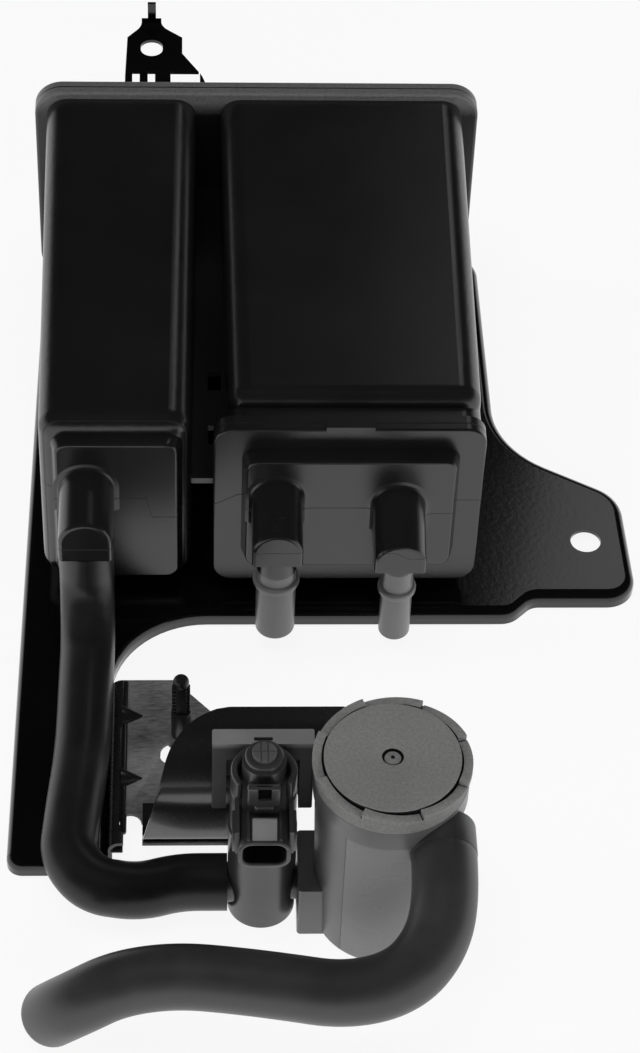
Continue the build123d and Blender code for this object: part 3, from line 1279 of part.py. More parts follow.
def main():
    """Builds the nodes, moves them to the part's own frame and writes one file for each."""
    os.makedirs("parts", exist_ok=True)
    shapes = {name: as_shape(item) for name, item in all_nodes().items()}
    boxes = [shape.bounding_box() for name, shape in shapes.items() if name != "air_hose"]
    low = [min(tuple(box.min)[i] for box in boxes) for i in range(3)]
    high = [max(tuple(box.max)[i] for box in boxes) for i in range(3)]
    shift = (-(low[0] + high[0]) / 2, -(low[1] + high[1]) / 2, -low[2])
    print("shift", [round(value, 3) for value in shift])
    print("size", [round(high[i] - low[i], 2) for i in range(3)])
    for name, shape in shapes.items():
        export_step(Pos(*shift) * shape, f"parts/{name}.step")


main()
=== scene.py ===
"""Looks of a fuel vapour canister on its pressed steel bracket, with valve, filter and hoses."""

import json
import logging
import math
from collections.abc import Callable
from dataclasses import dataclass, field
from enum import Enum

import bmesh
import bpy
from mathutils import Matrix, Vector


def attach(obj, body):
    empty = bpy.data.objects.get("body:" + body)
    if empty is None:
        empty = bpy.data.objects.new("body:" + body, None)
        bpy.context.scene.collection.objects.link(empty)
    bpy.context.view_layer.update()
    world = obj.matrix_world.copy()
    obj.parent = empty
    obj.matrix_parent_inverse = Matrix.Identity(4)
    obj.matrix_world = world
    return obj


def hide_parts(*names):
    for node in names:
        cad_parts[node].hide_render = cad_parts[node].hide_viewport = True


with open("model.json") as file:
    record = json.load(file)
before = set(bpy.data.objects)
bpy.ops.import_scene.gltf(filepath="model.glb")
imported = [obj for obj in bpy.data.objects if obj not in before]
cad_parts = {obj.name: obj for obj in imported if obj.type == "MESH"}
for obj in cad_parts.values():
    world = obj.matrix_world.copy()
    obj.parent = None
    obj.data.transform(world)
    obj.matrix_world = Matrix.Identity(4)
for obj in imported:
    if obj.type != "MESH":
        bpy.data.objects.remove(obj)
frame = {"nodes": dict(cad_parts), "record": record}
LOG = logging.getLogger("canister")

MM = 0.001
CAD_SHIFT = Vector((-56.873, -23.0, 0.0))
ROOT = "root"
Colour = tuple[float, float, float]
Point = tuple[float, float, float]
Table = tuple[tuple[float, float], ...]
Sockets = dict[str | int, object]


def place(x: float, y: float, z: float) -> Vector:
    """A point of the drawing, in millimetres, as a point of the part, in metres.

    Args:
        x: Distance to the right in the drawing.
        y: Distance away from the ports in the drawing.
        z: Height above the surface the part stands on.

    Returns:
        The same point in the part's own frame.
    """
    return (Vector((x, y, z)) + CAD_SHIFT) * MM


def scaled(tone: Colour, factor: float, lift: float = 0.0) -> Colour:
    """A colour made darker or lighter by a factor, then lifted."""
    return tuple(channel * factor + lift for channel in tone)


class Wire:
    """A value that flows through a material's nodes and takes part in sums."""

    def __init__(self, graph: "Graph", socket: bpy.types.NodeSocket) -> None:
        """Keeps the graph and the output socket."""
        self.graph = graph
        self.socket = socket

    def __add__(self, other: "Wire | float") -> "Wire":
        """Sum of two values."""
        return self.graph.math("ADD", self, other)

    __radd__ = __add__

    def __sub__(self, other: "Wire | float") -> "Wire":
        """Difference of two values."""
        return self.graph.math("SUBTRACT", self, other)

    def __rsub__(self, other: float) -> "Wire":
        """Difference with the value second."""
        return self.graph.math("SUBTRACT", other, self)

    def __abs__(self) -> "Wire":
        """Size of a value without its sign."""
        return self.graph.math("ABSOLUTE", self)

    def __mul__(self, other: "Wire | float") -> "Wire":
        """Product of two values."""
        return self.graph.math("MULTIPLY", self, other)

    __rmul__ = __mul__

    def __gt__(self, other: "Wire | float") -> "Wire":
        """One where the value is greater, else zero."""
        return self.graph.math("GREATER_THAN", self, other)

    def __lt__(self, other: "Wire | float") -> "Wire":
        """One where the value is less, else zero."""
        return self.graph.math("LESS_THAN", self, other)

    def fitted(self, low: float, high: float) -> "Wire":
        """The value mapped from low and high to zero and one, and held between them."""
        sockets = {"Value": self, "From Min": low, "From Max": high}
        node = self.graph.node("ShaderNodeMapRange", {"clamp": True}, sockets)
        return Wire(self.graph, node.outputs["Result"])


class Graph:
    """Node graph of one material, built by expressions."""

    def __init__(self, name: str) -> None:
        """Makes an empty material with an output."""
        self.material = bpy.data.materials.new(name)
        self.material.use_nodes = True
        self.tree = self.material.node_tree
        self.tree.nodes.clear()
        self.output = self.tree.nodes.new("ShaderNodeOutputMaterial")

    def node(self, kind: str, settings: dict[str, object], sockets: Sockets) -> bpy.types.Node:
        """Adds a node, sets it, then fills or links its sockets.

        Args:
            kind: The node's type.
            settings: Its own settings.
            sockets: Values or wires by socket name or number.

        Returns:
            The new node.
        """
        made = self.tree.nodes.new(kind)
        for key, value in settings.items():
            setattr(made, key, value)
        for key, value in sockets.items():
            socket = made.inputs[key]
            if isinstance(value, Wire):
                self.tree.links.new(value.socket, socket)
            else:
                socket.default_value = value
        return made

    def math(self, operation: str, *values: "Wire | float") -> Wire:
        """One Math node on two or three values."""
        node = self.node("ShaderNodeMath", {"operation": operation}, dict(enumerate(values)))
        return Wire(self, node.outputs[0])

    def coordinates(self, scale: Vector | None = None) -> Wire:
        """The piece's own coordinates, stretched by scale if it is given."""
        coords = Wire(self, self.node("ShaderNodeTexCoord", {}, {}).outputs["Object"])
        if scale is None:
            return coords
        node = self.node("ShaderNodeMapping", {}, {"Vector": coords, "Scale": scale})
        return Wire(self, node.outputs[0])

    def axis(self, coords: Wire, which: str) -> Wire:
        """One of the three numbers of a coordinate."""
        node = self.node("ShaderNodeSeparateXYZ", {}, {0: coords})
        return Wire(self, node.outputs[which])

    def noise(self, coords: Wire, scale: float, detail: float = 2.0, rough: float = 0.5) -> Wire:
        """Soft noise between about 0 and 1."""
        node = self.node(
            "ShaderNodeTexNoise", {}, {"Vector": coords, "Scale": scale, "Detail": detail, "Roughness": rough}
        )
        return Wire(self, node.outputs["Fac"])

    def cells(self, coords: Wire, scale: float) -> Wire:
        """Distance to the nearest of scattered points."""
        node = self.node("ShaderNodeTexVoronoi", {}, {"Vector": coords, "Scale": scale})
        return Wire(self, node.outputs["Distance"])

    def tint(self, factor: Wire, first: Wire | Colour, second: Colour) -> Wire:
        """A colour between two by a factor; the first may itself vary."""
        start = first if isinstance(first, Wire) else (*first, 1.0)
        node = self.node("ShaderNodeMix", {"data_type": "RGBA"}, {0: factor, 6: start, 7: (*second, 1.0)})
        return Wire(self, node.outputs[2])

    def bump(self, height: Wire, distance: float = 1.0) -> Wire:
        """Normal of a relief whose depth is in metres."""
        node = self.node("ShaderNodeBump", {}, {"Height": height, "Distance": distance})
        return Wire(self, node.outputs["Normal"])

    def plain(self, colour: Wire, rough: Wire, normal: Wire, specular: float) -> bpy.types.Material:
        """Ends the graph in a shader without metal or coat."""
        return self.surface(
            {"Base Color": colour, "Roughness": rough, "Normal": normal, "Specular IOR Level": specular}
        )

    def surface(self, sockets: Sockets) -> bpy.types.Material:
        """Ends the graph in a shader with these sockets.

        Args:
            sockets: Values or wires of the shader.

        Returns:
            The finished material.
        """
        shader = self.node("ShaderNodeBsdfPrincipled", {}, sockets)
        self.tree.links.new(shader.outputs[0], self.output.inputs["Surface"])
        return self.material


@dataclass(frozen=True)
class MouldedPlastic:
    """Injection-moulded plastic with a fine spark-eroded grain and faint clouds."""

    name: str
    tone: Colour
    roughness: float
    grain_scale: float = 2600.0
    grain_depth: float = 0.00004
    cloud: float = 0.12
    specular: float = 0.5

    def layers(self, graph: Graph, coords: Wire) -> tuple[Wire, Wire, Wire]:
        """The plastic's clouds and grain, and the colour that they give."""
        clouds = graph.noise(coords, 22.0, 3.0)
        grain = graph.noise(coords, self.grain_scale, 2.0, 0.6)
        tones = clouds.fitted(0.3, 0.7) * 0.6 + grain * 0.4
        return clouds, grain, graph.tint(tones, scaled(self.tone, 0.72), scaled(self.tone, 1.25))

    def material(self) -> bpy.types.Material:
        """Builds the material."""
        graph = Graph(self.name)
        clouds, grain, colour = self.layers(graph, graph.coordinates())
        flow = graph.noise(graph.coordinates(Vector((40.0, 8.0, 40.0))), 3.0, 2.0)
        rough = (clouds - 0.5) * self.cloud + (flow - 0.5) * self.cloud + self.roughness
        return graph.plain(colour, rough, graph.bump(grain, self.grain_depth), self.specular)


@dataclass(frozen=True)
class LegShadedPlastic(MouldedPlastic):
    """Plastic in its own pale tone on its top face, with painted shade that darkens it below."""

    dust_from: float = 76.0
    dust_to: float = 78.9
    clean: float = 0.09

    def material(self) -> bpy.types.Material:
        """Builds the material."""
        graph = Graph(self.name)
        coords = graph.coordinates()
        clouds = graph.noise(coords, 60.0, 3.0)
        grain = graph.noise(coords, self.grain_scale, 2.0, 0.6)
        # Painted shade: below the top face the colour falls to a small share of the tone; the dust mask here
        # only marks the unshaded top.
        dust = graph.axis(coords, "Z").fitted(self.dust_from * MM, self.dust_to * MM)
        clean = scaled(self.tone, self.clean)
        colour = graph.tint(dust * (clouds * 0.5 + 0.7), clean, self.tone)
        rough = (clouds - 0.5) * self.cloud + self.roughness
        return graph.plain(colour, rough, graph.bump(grain, self.grain_depth), self.specular)


@dataclass(frozen=True)
class SocketPlastic(MouldedPlastic):
    """The valve's plastic, with painted shade down in its plug socket."""

    socket_low: Point = (19.2, -219.4, 55.9)
    socket_high: Point = (33.8, -206.0, 67.4)
    shade: Colour = (0.002, 0.002, 0.002)

    def material(self) -> bpy.types.Material:
        """Builds the material."""
        graph = Graph(self.name)
        coords = graph.coordinates()
        inside = 1.0
        for which, low, high in zip("XYZ", place(*self.socket_low), place(*self.socket_high)):
            along = graph.axis(coords, which)
            inside = (along > low) * (along < high) * inside
        clouds, grain, body = self.layers(graph, coords)
        # Painted shade: inside the socket box the colour turns near black.
        colour = graph.tint(inside, body, self.shade)
        rough = (clouds - 0.5) * self.cloud + inside * 0.6 + self.roughness
        return graph.plain(colour, rough, graph.bump(grain, self.grain_depth), self.specular)


@dataclass(frozen=True)
class GroovedPlastic(MouldedPlastic):
    """The filter cap's grained plastic, with painted shade down in its rim groove, under its ramps, in its
    centre ring and on its gate nub.
    """

    centre: tuple[float, float] = (72.0, -198.0)
    groove: Point = (24.5, 25.36, 89.3)
    ledge: Point = (25.2, 28.2, 87.5)
    ring: Point = (3.0, 4.1, 89.7)
    nub: Point = (-1.0, 0.75, 90.0)
    floor: float = 86.9
    shade: Colour = (0.006, 0.006, 0.006)

    def material(self) -> bpy.types.Material:
        """Builds the material."""
        graph = Graph(self.name)
        coords = graph.coordinates()
        across, back, up = (graph.axis(coords, which) for which in "XYZ")
        middle = place(*self.centre, 0.0)
        sideways, lengthways = across - middle.x, back - middle.y
        radius = graph.math("SQRT", sideways * sideways + lengthways * lengthways)
        # Painted shade: bands in the rim groove, under the ramps, in the centre ring and on the gate nub,
        # where the colour turns near black.
        dark = radius * 0.0
        for inner, outer, height in (self.groove, self.ledge, self.ring, self.nub):
            band = (radius > inner * MM) * (radius < outer * MM) * (up < height * MM) * (up > self.floor * MM)
            dark = graph.math("MAXIMUM", dark, band)
        clouds = graph.noise(coords, 60.0, 3.0)
        grain = graph.noise(coords, self.grain_scale, 2.0, 0.6)
        mottle = graph.noise(coords, 900.0, 2.0).fitted(0.35, 0.65)
        darker = scaled(self.tone, 0.8)
        lighter = scaled(self.tone, 1.25)
        tones = graph.tint(clouds * 0.5 + mottle * 0.5, darker, lighter)
        colour = graph.tint(dark, tones, self.shade)
        rough = (clouds - 0.5) * self.cloud + dark * 0.3 + self.roughness
        return graph.plain(colour, rough, graph.bump(grain * self.grain_depth), self.specular)


@dataclass(frozen=True)
class PanelledPlastic(MouldedPlastic):
    """The filter body's plastic: a paler smooth panel right of a mould line and below the collar."""

    panel_left: float = 55.4
    panel_top: float = 71.8
    panel_front: float = -212.0
    line_half: float = 0.16
    line_depth: float = 0.0003
    line_tone: Colour = (0.01, 0.01, 0.01)
    outside: float = 0.62

    def material(self) -> bpy.types.Material:
        """Builds the material."""
        graph = Graph(self.name)
        coords = graph.coordinates()
        across, back, up = (graph.axis(coords, which) for which in "XYZ")
        edge = place(self.panel_left, self.panel_front, 0.0)
        front = back < edge.y
        panel = front * (across > edge.x) * (up < self.panel_top * MM)
        line = front * (up < self.panel_top * MM) * (abs(across - edge.x) < self.line_half * MM)
        clouds = graph.noise(coords, 40.0, 3.0)
        grain = graph.noise(coords, self.grain_scale, 2.0, 0.6)
        outside = scaled(self.tone, self.outside)
        body = graph.tint(panel * 0.85 + clouds * 0.15, outside, self.tone)
        colour = graph.tint(line, body, self.line_tone)
        rough = (clouds - 0.5) * self.cloud - panel * 0.04 + self.roughness
        relief = grain * self.grain_depth - line * self.line_depth
        return graph.plain(colour, rough, graph.bump(relief), self.specular)


@dataclass(frozen=True)
class SeamedPlastic(MouldedPlastic):
    """The canister's plastic, with its weld seams, the mould's parting line and a painted reflection that
    makes its spigot tips pale.
    """

    seam_depths: tuple[float, ...] = (-39.0, 153.2)
    seam_half: float = 0.3
    line_half: float = 0.22
    line_front: float = -30.0
    seam_depth: float = 0.0004
    line_height: float = 65.8
    line_jogs: tuple[Point, ...] = (
        (-17.0, -15.0, -10.8), (4.0, 9.0, 3.3), (10.0, 19.0, 5.5), (80.0, 85.0, -3.2),
    )
    rim_front: float = 148.7
    rim_tone: Colour = (0.14, 0.14, 0.141)
    rim_low: float = 99.0
    rim_high: float = 106.0
    tip_front: float = -57.0
    tip_top: float = 45.5
    tip_tone: Colour = (0.17, 0.17, 0.171)

    def parting_height(self, graph: Graph, along: Wire) -> Wire:
        """Height of the parting line at each place across the front.

        Args:
            graph: The material's graph.
            along: The X coordinate.

        Returns:
            The line's height in metres, with its jogs at the ends of both faces.
        """
        height = along * 0.0 + self.line_height * MM
        for start, end, rise in self.line_jogs:
            height = height + along.fitted(place(start, 0, 0).x, place(end, 0, 0).x) * (rise * MM)
        return height

    def material(self) -> bpy.types.Material:
        """Builds the material."""
        graph = Graph(self.name)
        coords = graph.coordinates()
        across, back, up = (graph.axis(coords, which) for which in "XYZ")
        line = abs(up - self.parting_height(graph, across)) < self.line_half * MM
        marks = line * (back < place(0, self.line_front, 0).y)
        for depth in self.seam_depths:
            marks = graph.math("MAXIMUM", marks, abs(back - place(0, depth, 0).y) < self.seam_half * MM)
        clouds = graph.noise(coords, 22.0, 3.0)
        grain = graph.noise(coords, self.grain_scale, 2.0, 0.6)
        specks = graph.noise(coords, 520.0, 1.0).fitted(0.74, 0.8)
        darker = scaled(self.tone, 0.7)
        lighter = scaled(self.tone, 1.3, 0.001)
        tones = clouds.fitted(0.3, 0.7) * 0.5 + grain * 0.3 + specks * 0.4
        relief = grain * self.grain_depth - marks * self.seam_depth
        rim = (back > place(0, self.rim_front, 0).y) * (1.0 - marks) * grain.fitted(0.2, 0.6)
        rim = rim * up.fitted(self.rim_low * MM, self.rim_high * MM)
        # Painted reflection: the spigot tips, low down and in front, are made pale as if lit by the floor.
        low = up.fitted(self.tip_top * MM, (self.tip_top - 1.0) * MM)
        painted_tip_light = (back < place(0, self.tip_front, 0).y) * low
        body = graph.tint(tones * (1.0 - marks), darker, lighter)
        colour = graph.tint(painted_tip_light, graph.tint(rim, body, self.rim_tone), self.tip_tone)
        rough = (clouds - 0.5) * self.cloud + marks * 0.3 + rim * 0.3 + painted_tip_light * 0.1 + self.roughness
        return graph.plain(colour, rough, graph.bump(relief), self.specular)


@dataclass(frozen=True)
class PaintedSteel:
    """Black paint over pressed sheet, with a slight orange peel and fine dust."""

    name: str
    tone: Colour
    roughness: float
    peel_scale: float = 420.0
    peel_depth: float = 0.00003
    grain_depth: float = 0.0
    coat: float = 0.0
    wear: float = 0.4
    specular: float = 0.5
    streak: float = 0.0

    def material(self) -> bpy.types.Material:
        """Builds the material."""
        graph = Graph(self.name)
        coords = graph.coordinates()
        peel = graph.noise(coords, self.peel_scale, 2.0)
        grain = graph.noise(coords, 3200.0, 2.0, 0.7)
        patches = graph.noise(coords, 14.0, 4.0)
        dust = graph.noise(coords, 1500.0, 1.0).fitted(0.72, 0.82)
        streaks = graph.noise(graph.coordinates(Vector((1.0, 7.0, 7.0))), 130.0, 3.0, 0.6)
        lighter = scaled(self.tone, 1.6, 0.01)
        relief = peel * self.peel_depth + grain * self.grain_depth + streaks * self.streak
        return graph.surface(
            {
                "Base Color": graph.tint(
                    dust * self.wear + patches.fitted(0.4, 0.75) * self.wear, self.tone, lighter
                ),
                "Roughness": (patches - 0.5) * 0.12 + dust * 0.1 + self.roughness,
                "Normal": graph.bump(relief),
                "Coat Weight": self.coat,
                "Coat Roughness": 0.1,
                "Specular IOR Level": self.specular,
            }
        )


@dataclass(frozen=True)
class PressedPaint(PaintedSteel):
    """Paint pale and mottled on the flat of the clip plate, with painted shade that turns it black past its
    bend.
    """

    bend_from: float = -26.5
    bend_to: float = -23.5

    def material(self) -> bpy.types.Material:
        """Builds the material."""
        graph = Graph(self.name)
        coords = graph.coordinates()
        grain = graph.noise(graph.coordinates(Vector((1.0, 3.5, 3.5))), 260.0, 4.0, 0.65)
        patches = graph.noise(coords, 26.0, 3.0)
        # Painted shade: past the bend the colour falls to black; on the flat the wear mask only mottles the
        # paint.
        flat = graph.axis(coords, "X").fitted(place(self.bend_from, 0, 0).x, place(self.bend_to, 0, 0).x)
        wear = flat * (patches.fitted(0.3, 0.7) * 0.7 + grain.fitted(0.3, 0.7) * 0.5)
        black = scaled(self.tone, 0.06)
        colour = graph.tint(wear, black, self.tone)
        rough = flat * 0.16 + (grain - 0.5) * 0.2 + self.roughness - 0.12
        return graph.plain(colour, rough, graph.bump(grain * self.streak * flat), self.specular)


@dataclass(frozen=True)
class HoseRubber:
    """Moulded rubber with a satin skin and faint mottling."""

    name: str
    tone: Colour
    roughness: float
    specular: float = 0.45

    def material(self) -> bpy.types.Material:
        """Builds the material."""
        graph = Graph(self.name)
        coords = graph.coordinates()
        mottle = graph.noise(coords, 90.0, 4.0, 0.6)
        skin = graph.noise(coords, 900.0, 3.0, 0.6)
        bloom = graph.noise(coords, 18.0, 2.0).fitted(0.35, 0.7)
        lighter = scaled(self.tone, 1.5, 0.004)
        colour = graph.tint(mottle.fitted(0.3, 0.7) * 0.5 + bloom * 0.5, self.tone, lighter)
        rough = (mottle - 0.5) * 0.16 + (bloom - 0.5) * 0.06 + self.roughness
        return graph.plain(colour, rough, graph.bump(skin * 0.6 + mottle * 0.4, 0.00006), self.specular)


@dataclass(frozen=True)
class PlainMetal:
    """Bare or plated metal with fine drawing marks."""

    name: str
    tone: Colour
    roughness: float
    marks: Point = (1.0, 1.0, 12.0)

    def material(self) -> bpy.types.Material:
        """Builds the material."""
        graph = Graph(self.name)
        streaks = graph.noise(graph.coordinates(Vector(self.marks)), 300.0, 3.0)
        stain = graph.noise(graph.coordinates(), 120.0, 3.0)
        darker = scaled(self.tone, 0.7)
        return graph.surface(
            {
                "Base Color": graph.tint(stain.fitted(0.3, 0.7), darker, self.tone),
                "Roughness": (streaks - 0.5) * 0.2 + self.roughness,
                "Metallic": 1.0,
                "Normal": graph.bump(streaks, 0.00001),
            }
        )


@dataclass(frozen=True)
class LooseFill:
    """Granules, foam or paper: a matt body broken up by cells."""

    name: str
    tone: Colour
    cell_scale: float
    depth: float

    def material(self) -> bpy.types.Material:
        """Builds the material."""
        graph = Graph(self.name)
        coords = graph.coordinates()
        cells = graph.cells(coords, self.cell_scale)
        clouds = graph.noise(coords, 60.0, 3.0)
        darker = scaled(self.tone, 0.55)
        return graph.surface(
            {
                "Base Color": graph.tint(cells.fitted(0.1, 0.7) * 0.7 + clouds * 0.3, darker, self.tone),
                "Roughness": 0.9 - cells * 0.1,
                "Normal": graph.bump(cells, self.depth),
            }
        )


class Finish(Enum):
    """Every finish of the part, by the name of its slot in the record."""

    bracket_paint = PaintedSteel("bracket_paint", (0.002, 0.002, 0.0022), 0.13, coat=0.5, wear=0.15)
    plate_paint = PaintedSteel("plate_paint", (0.008, 0.008, 0.0085), 0.26, coat=0.7, wear=0.3, specular=1.0)
    pressed_paint = PressedPaint("pressed_paint", (0.26, 0.26, 0.261), 0.4, streak=0.0006, specular=0.8)
    housing_nylon = SeamedPlastic("housing_nylon", (0.0075, 0.0075, 0.0078), 0.22, specular=0.8)
    valve_plastic = SocketPlastic("valve_plastic", (0.03, 0.03, 0.031), 0.3, specular=0.9)
    holder_plastic = LegShadedPlastic("holder_plastic", (0.19, 0.19, 0.192), 0.5)
    # Painted light: a paler copy of the valve's plastic for the socket plate, which faces the bright floor.
    worn_plastic = MouldedPlastic("worn_plastic", (0.14, 0.14, 0.142), 0.4)
    # Painted shade: near black, for the block that fills the latch's hole.
    recess_rubber = MouldedPlastic("recess_rubber", (0.001, 0.001, 0.001), 0.8, specular=0.1)
    filter_plastic = PanelledPlastic("filter_plastic", (0.14, 0.14, 0.142), 0.32, specular=0.8)
    filter_cap_plastic = GroovedPlastic(
        "filter_cap_plastic", (0.18, 0.18, 0.177), 0.6, grain_scale=900.0, grain_depth=0.00012
    )
    clip_plastic = MouldedPlastic("clip_plastic", (0.012, 0.012, 0.013), 0.35)
    hose_rubber = HoseRubber("hose_rubber", (0.007, 0.007, 0.0075), 0.36)
    # Painted light: a paler copy of hose_rubber for the air hose, which looks lit.
    bloomed_rubber = HoseRubber("bloomed_rubber", (0.02, 0.02, 0.0205), 0.4, 0.8)
    seal_rubber = HoseRubber("seal_rubber", (0.02, 0.02, 0.02), 0.5)
    dark_steel = PaintedSteel("dark_steel", (0.07, 0.07, 0.072), 0.34)
    zinc_steel = PlainMetal("zinc_steel", (0.5, 0.5, 0.51), 0.35)
    spring_steel = PlainMetal("spring_steel", (0.4, 0.4, 0.41), 0.35)
    winding_copper = PlainMetal("winding_copper", (0.6, 0.28, 0.14), 0.35, (1.0, 1.0, 60.0))
    terminal_brass = PlainMetal("terminal_brass", (0.72, 0.66, 0.5), 0.3)
    carbon_granules = LooseFill("carbon_granules", (0.03, 0.03, 0.03), 450.0, 0.0006)
    filter_foam = LooseFill("filter_foam", (0.36, 0.36, 0.35), 1100.0, 0.0003)
    filter_paper = LooseFill("filter_paper", (0.75, 0.72, 0.62), 2400.0, 0.00005)


class Paintbox:
    """Makes each finish's material once and hands it out."""

    def __init__(self) -> None:
        """Starts with nothing made."""
        self.made: dict[Finish, bpy.types.Material] = {}

    def get(self, finish: Finish) -> bpy.types.Material:
        """The material of a finish."""
        if finish not in self.made:
            self.made[finish] = finish.value.material()
        return self.made[finish]

    def dress_node(self, node: str, finish: Finish) -> None:
        """Gives a CAD node its finish."""
        for slot in frame["nodes"][node].material_slots:
            slot.material = self.get(finish)

    def dress_piece(self, piece: bpy.types.Object, finish: Finish) -> None:
        """Gives a new piece its finish and its body.

        Args:
            piece: The new piece.
            finish: What it is made of.
        """
        piece.data.materials.clear()
        piece.data.materials.append(self.get(finish))
        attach(piece, ROOT)


def deselect_all() -> None:
    """Leaves nothing selected, in object mode."""
    if bpy.context.object and bpy.context.object.mode != "OBJECT":
        bpy.ops.object.mode_set(mode="OBJECT")
    bpy.ops.object.select_all(action="DESELECT")


def hold(piece: bpy.types.Object) -> None:
    """Makes one piece the only selected one."""
    deselect_all()
    piece.select_set(True)
    bpy.context.view_layer.objects.active = piece


def settle(piece: bpy.types.Object, name: str) -> bpy.types.Object:
    """Names a fresh primitive and moves its place, turn and size into its mesh."""
    hold(piece)
    piece.name = name
    bpy.ops.object.transform_apply(location=True, rotation=True, scale=True)
    return piece


def block(name: str, low: Point, high: Point) -> bpy.types.Object:
    """A box between two corners of the drawing, in millimetres."""
    deselect_all()
    middle = place(*((a + b) / 2 for a, b in zip(low, high)))
    spans = [(b - a) * MM for a, b in zip(low, high)]
    bpy.ops.mesh.primitive_cube_add(size=1.0, location=middle, scale=spans)
    return settle(bpy.context.object, name)


def rod(
    name: str, x: float, y: float, z0: float, z1: float, radius: float, around: int = 64
) -> bpy.types.Object:
    """An upright round bar in the drawing's millimetres."""
    deselect_all()
    bpy.ops.mesh.primitive_cylinder_add(
        vertices=around, radius=radius * MM, depth=(z1 - z0) * MM, location=place(x, y, (z0 + z1) / 2)
    )
    return settle(bpy.context.object, name)


def arc_bar(
    name: str, centre: tuple[float, float], radii: tuple[float, float], heights: tuple[float, float],
    start: float, end: float, steps: int,
) -> bpy.types.Object:
    """A curved bar: an upright rectangle spun round an upright axis.

    Args:
        name: The piece's name.
        centre: The axis in plan.
        radii: Inner and outer radius.
        heights: Bottom and top.
        start: Angle of its first end in degrees, from X toward Y.
        end: Angle of its other end.
        steps: Faces along its length.

    Returns:
        The bar as one closed mesh.
    """
    deselect_all()
    inner, outer = radii
    low, high = heights
    axis = place(*centre, (low + high) / 2)
    bpy.ops.mesh.primitive_plane_add(
        size=1.0,
        location=axis + Vector(((inner + outer) / 2 * MM, 0.0, 0.0)),
        rotation=(math.radians(90.0), 0.0, 0.0),
    )
    bpy.context.object.scale = ((outer - inner) * MM, (high - low) * MM, 1.0)
    piece = settle(bpy.context.object, name)
    piece.data.transform(turned(axis, start, "Z"))
    bpy.ops.object.mode_set(mode="EDIT")
    bpy.ops.mesh.select_all(action="SELECT")
    bpy.ops.mesh.spin(steps=steps, angle=math.radians(start - end), center=axis, axis=(0.0, 0.0, 1.0))
    bpy.ops.mesh.select_all(action="SELECT")
    bpy.ops.mesh.remove_doubles(threshold=1e-6)
    bpy.ops.mesh.normals_make_consistent(inside=False)
    bpy.ops.object.mode_set(mode="OBJECT")
    return piece


def pick_points(piece: bpy.types.Object, wanted: Callable[[Vector], bool]) -> None:
    """Goes into edit mode with only the wanted points selected."""
    hold(piece)
    bpy.ops.object.mode_set(mode="EDIT")
    bpy.ops.mesh.select_mode(type="VERT")
    bpy.ops.mesh.select_all(action="DESELECT")
    bpy.ops.object.mode_set(mode="OBJECT")
    for point in piece.data.vertices:
        point.select = wanted(point.co)
    bpy.ops.object.mode_set(mode="EDIT")


def pick_faces(piece: bpy.types.Object, wanted: Callable[[bpy.types.MeshPolygon], bool]) -> None:
    """Goes into edit mode with only the wanted faces selected."""
    hold(piece)
    bpy.ops.object.mode_set(mode="EDIT")
    bpy.ops.mesh.select_mode(type="FACE")
    bpy.ops.mesh.select_all(action="DESELECT")
    bpy.ops.object.mode_set(mode="OBJECT")
    for polygon in piece.data.polygons:
        polygon.select = wanted(polygon)
    bpy.ops.object.mode_set(mode="EDIT")


def step_in(inset: float, rise: float) -> None:
    """Insets the selected faces, then moves the new ones up or down, in millimetres."""
    bpy.ops.mesh.inset(thickness=inset * MM, depth=0.0)
    if rise:
        bpy.ops.mesh.extrude_region_move(TRANSFORM_OT_translate={"value": (0.0, 0.0, rise * MM)})


def soften(piece: bpy.types.Object, width: float, segments: int = 2, angle: float = 40.0) -> bpy.types.Object:
    """Rounds a piece's sharp edges and smooths its faces.

    Args:
        piece: The piece to finish.
        width: Width of the rounding in millimetres.
        segments: Faces across the rounding.
        angle: Edges sharper than this are rounded.

    Returns:
        The same piece.
    """
    hold(piece)
    bevel = piece.modifiers.new("edges", "BEVEL")
    bevel.width = width * MM
    bevel.segments = segments
    bevel.limit_method = "ANGLE"
    bevel.angle_limit = math.radians(angle)
    bpy.ops.object.modifier_apply(modifier=bevel.name)
    return smoothed(piece, angle)


def smoothed(piece: bpy.types.Object, angle: float = 30.0) -> bpy.types.Object:
    """Smooths a piece's faces that meet at less than an angle in degrees."""
    hold(piece)
    bpy.ops.object.shade_smooth_by_angle(angle=math.radians(angle))
    return piece


def copied(piece: bpy.types.Object, move: Matrix) -> bpy.types.Object:
    """A copy of a piece with its own mesh, moved by a matrix."""
    twin = piece.copy()
    twin.data = piece.data.copy()
    twin.data.transform(move)
    bpy.context.collection.objects.link(twin)
    return twin


def joined(pieces: list[bpy.types.Object], name: str) -> bpy.types.Object:
    """Joins pieces into the first of them and names it."""
    deselect_all()
    for piece in pieces:
        piece.select_set(True)
    bpy.context.view_layer.objects.active = pieces[0]
    bpy.ops.object.join()
    pieces[0].name = name
    return pieces[0]


def turned(centre: Vector, degrees: float, axis: str) -> Matrix:
    """A turn about an axis through a point."""
    turn = Matrix.Rotation(math.radians(degrees), 4, axis)
    return Matrix.Translation(centre) @ turn @ Matrix.Translation(-centre)


def carve(piece: bpy.types.Object, tool: bpy.types.Object) -> bpy.types.Object:
    """Cuts one piece out of another and takes the cutter away."""
    hold(piece)
    cut = piece.modifiers.new("cut", "BOOLEAN")
    cut.operation = "DIFFERENCE"
    cut.object = tool
    cut.solver = "EXACT"
    bpy.ops.object.modifier_apply(modifier=cut.name)
    bpy.data.objects.remove(tool)
    return piece


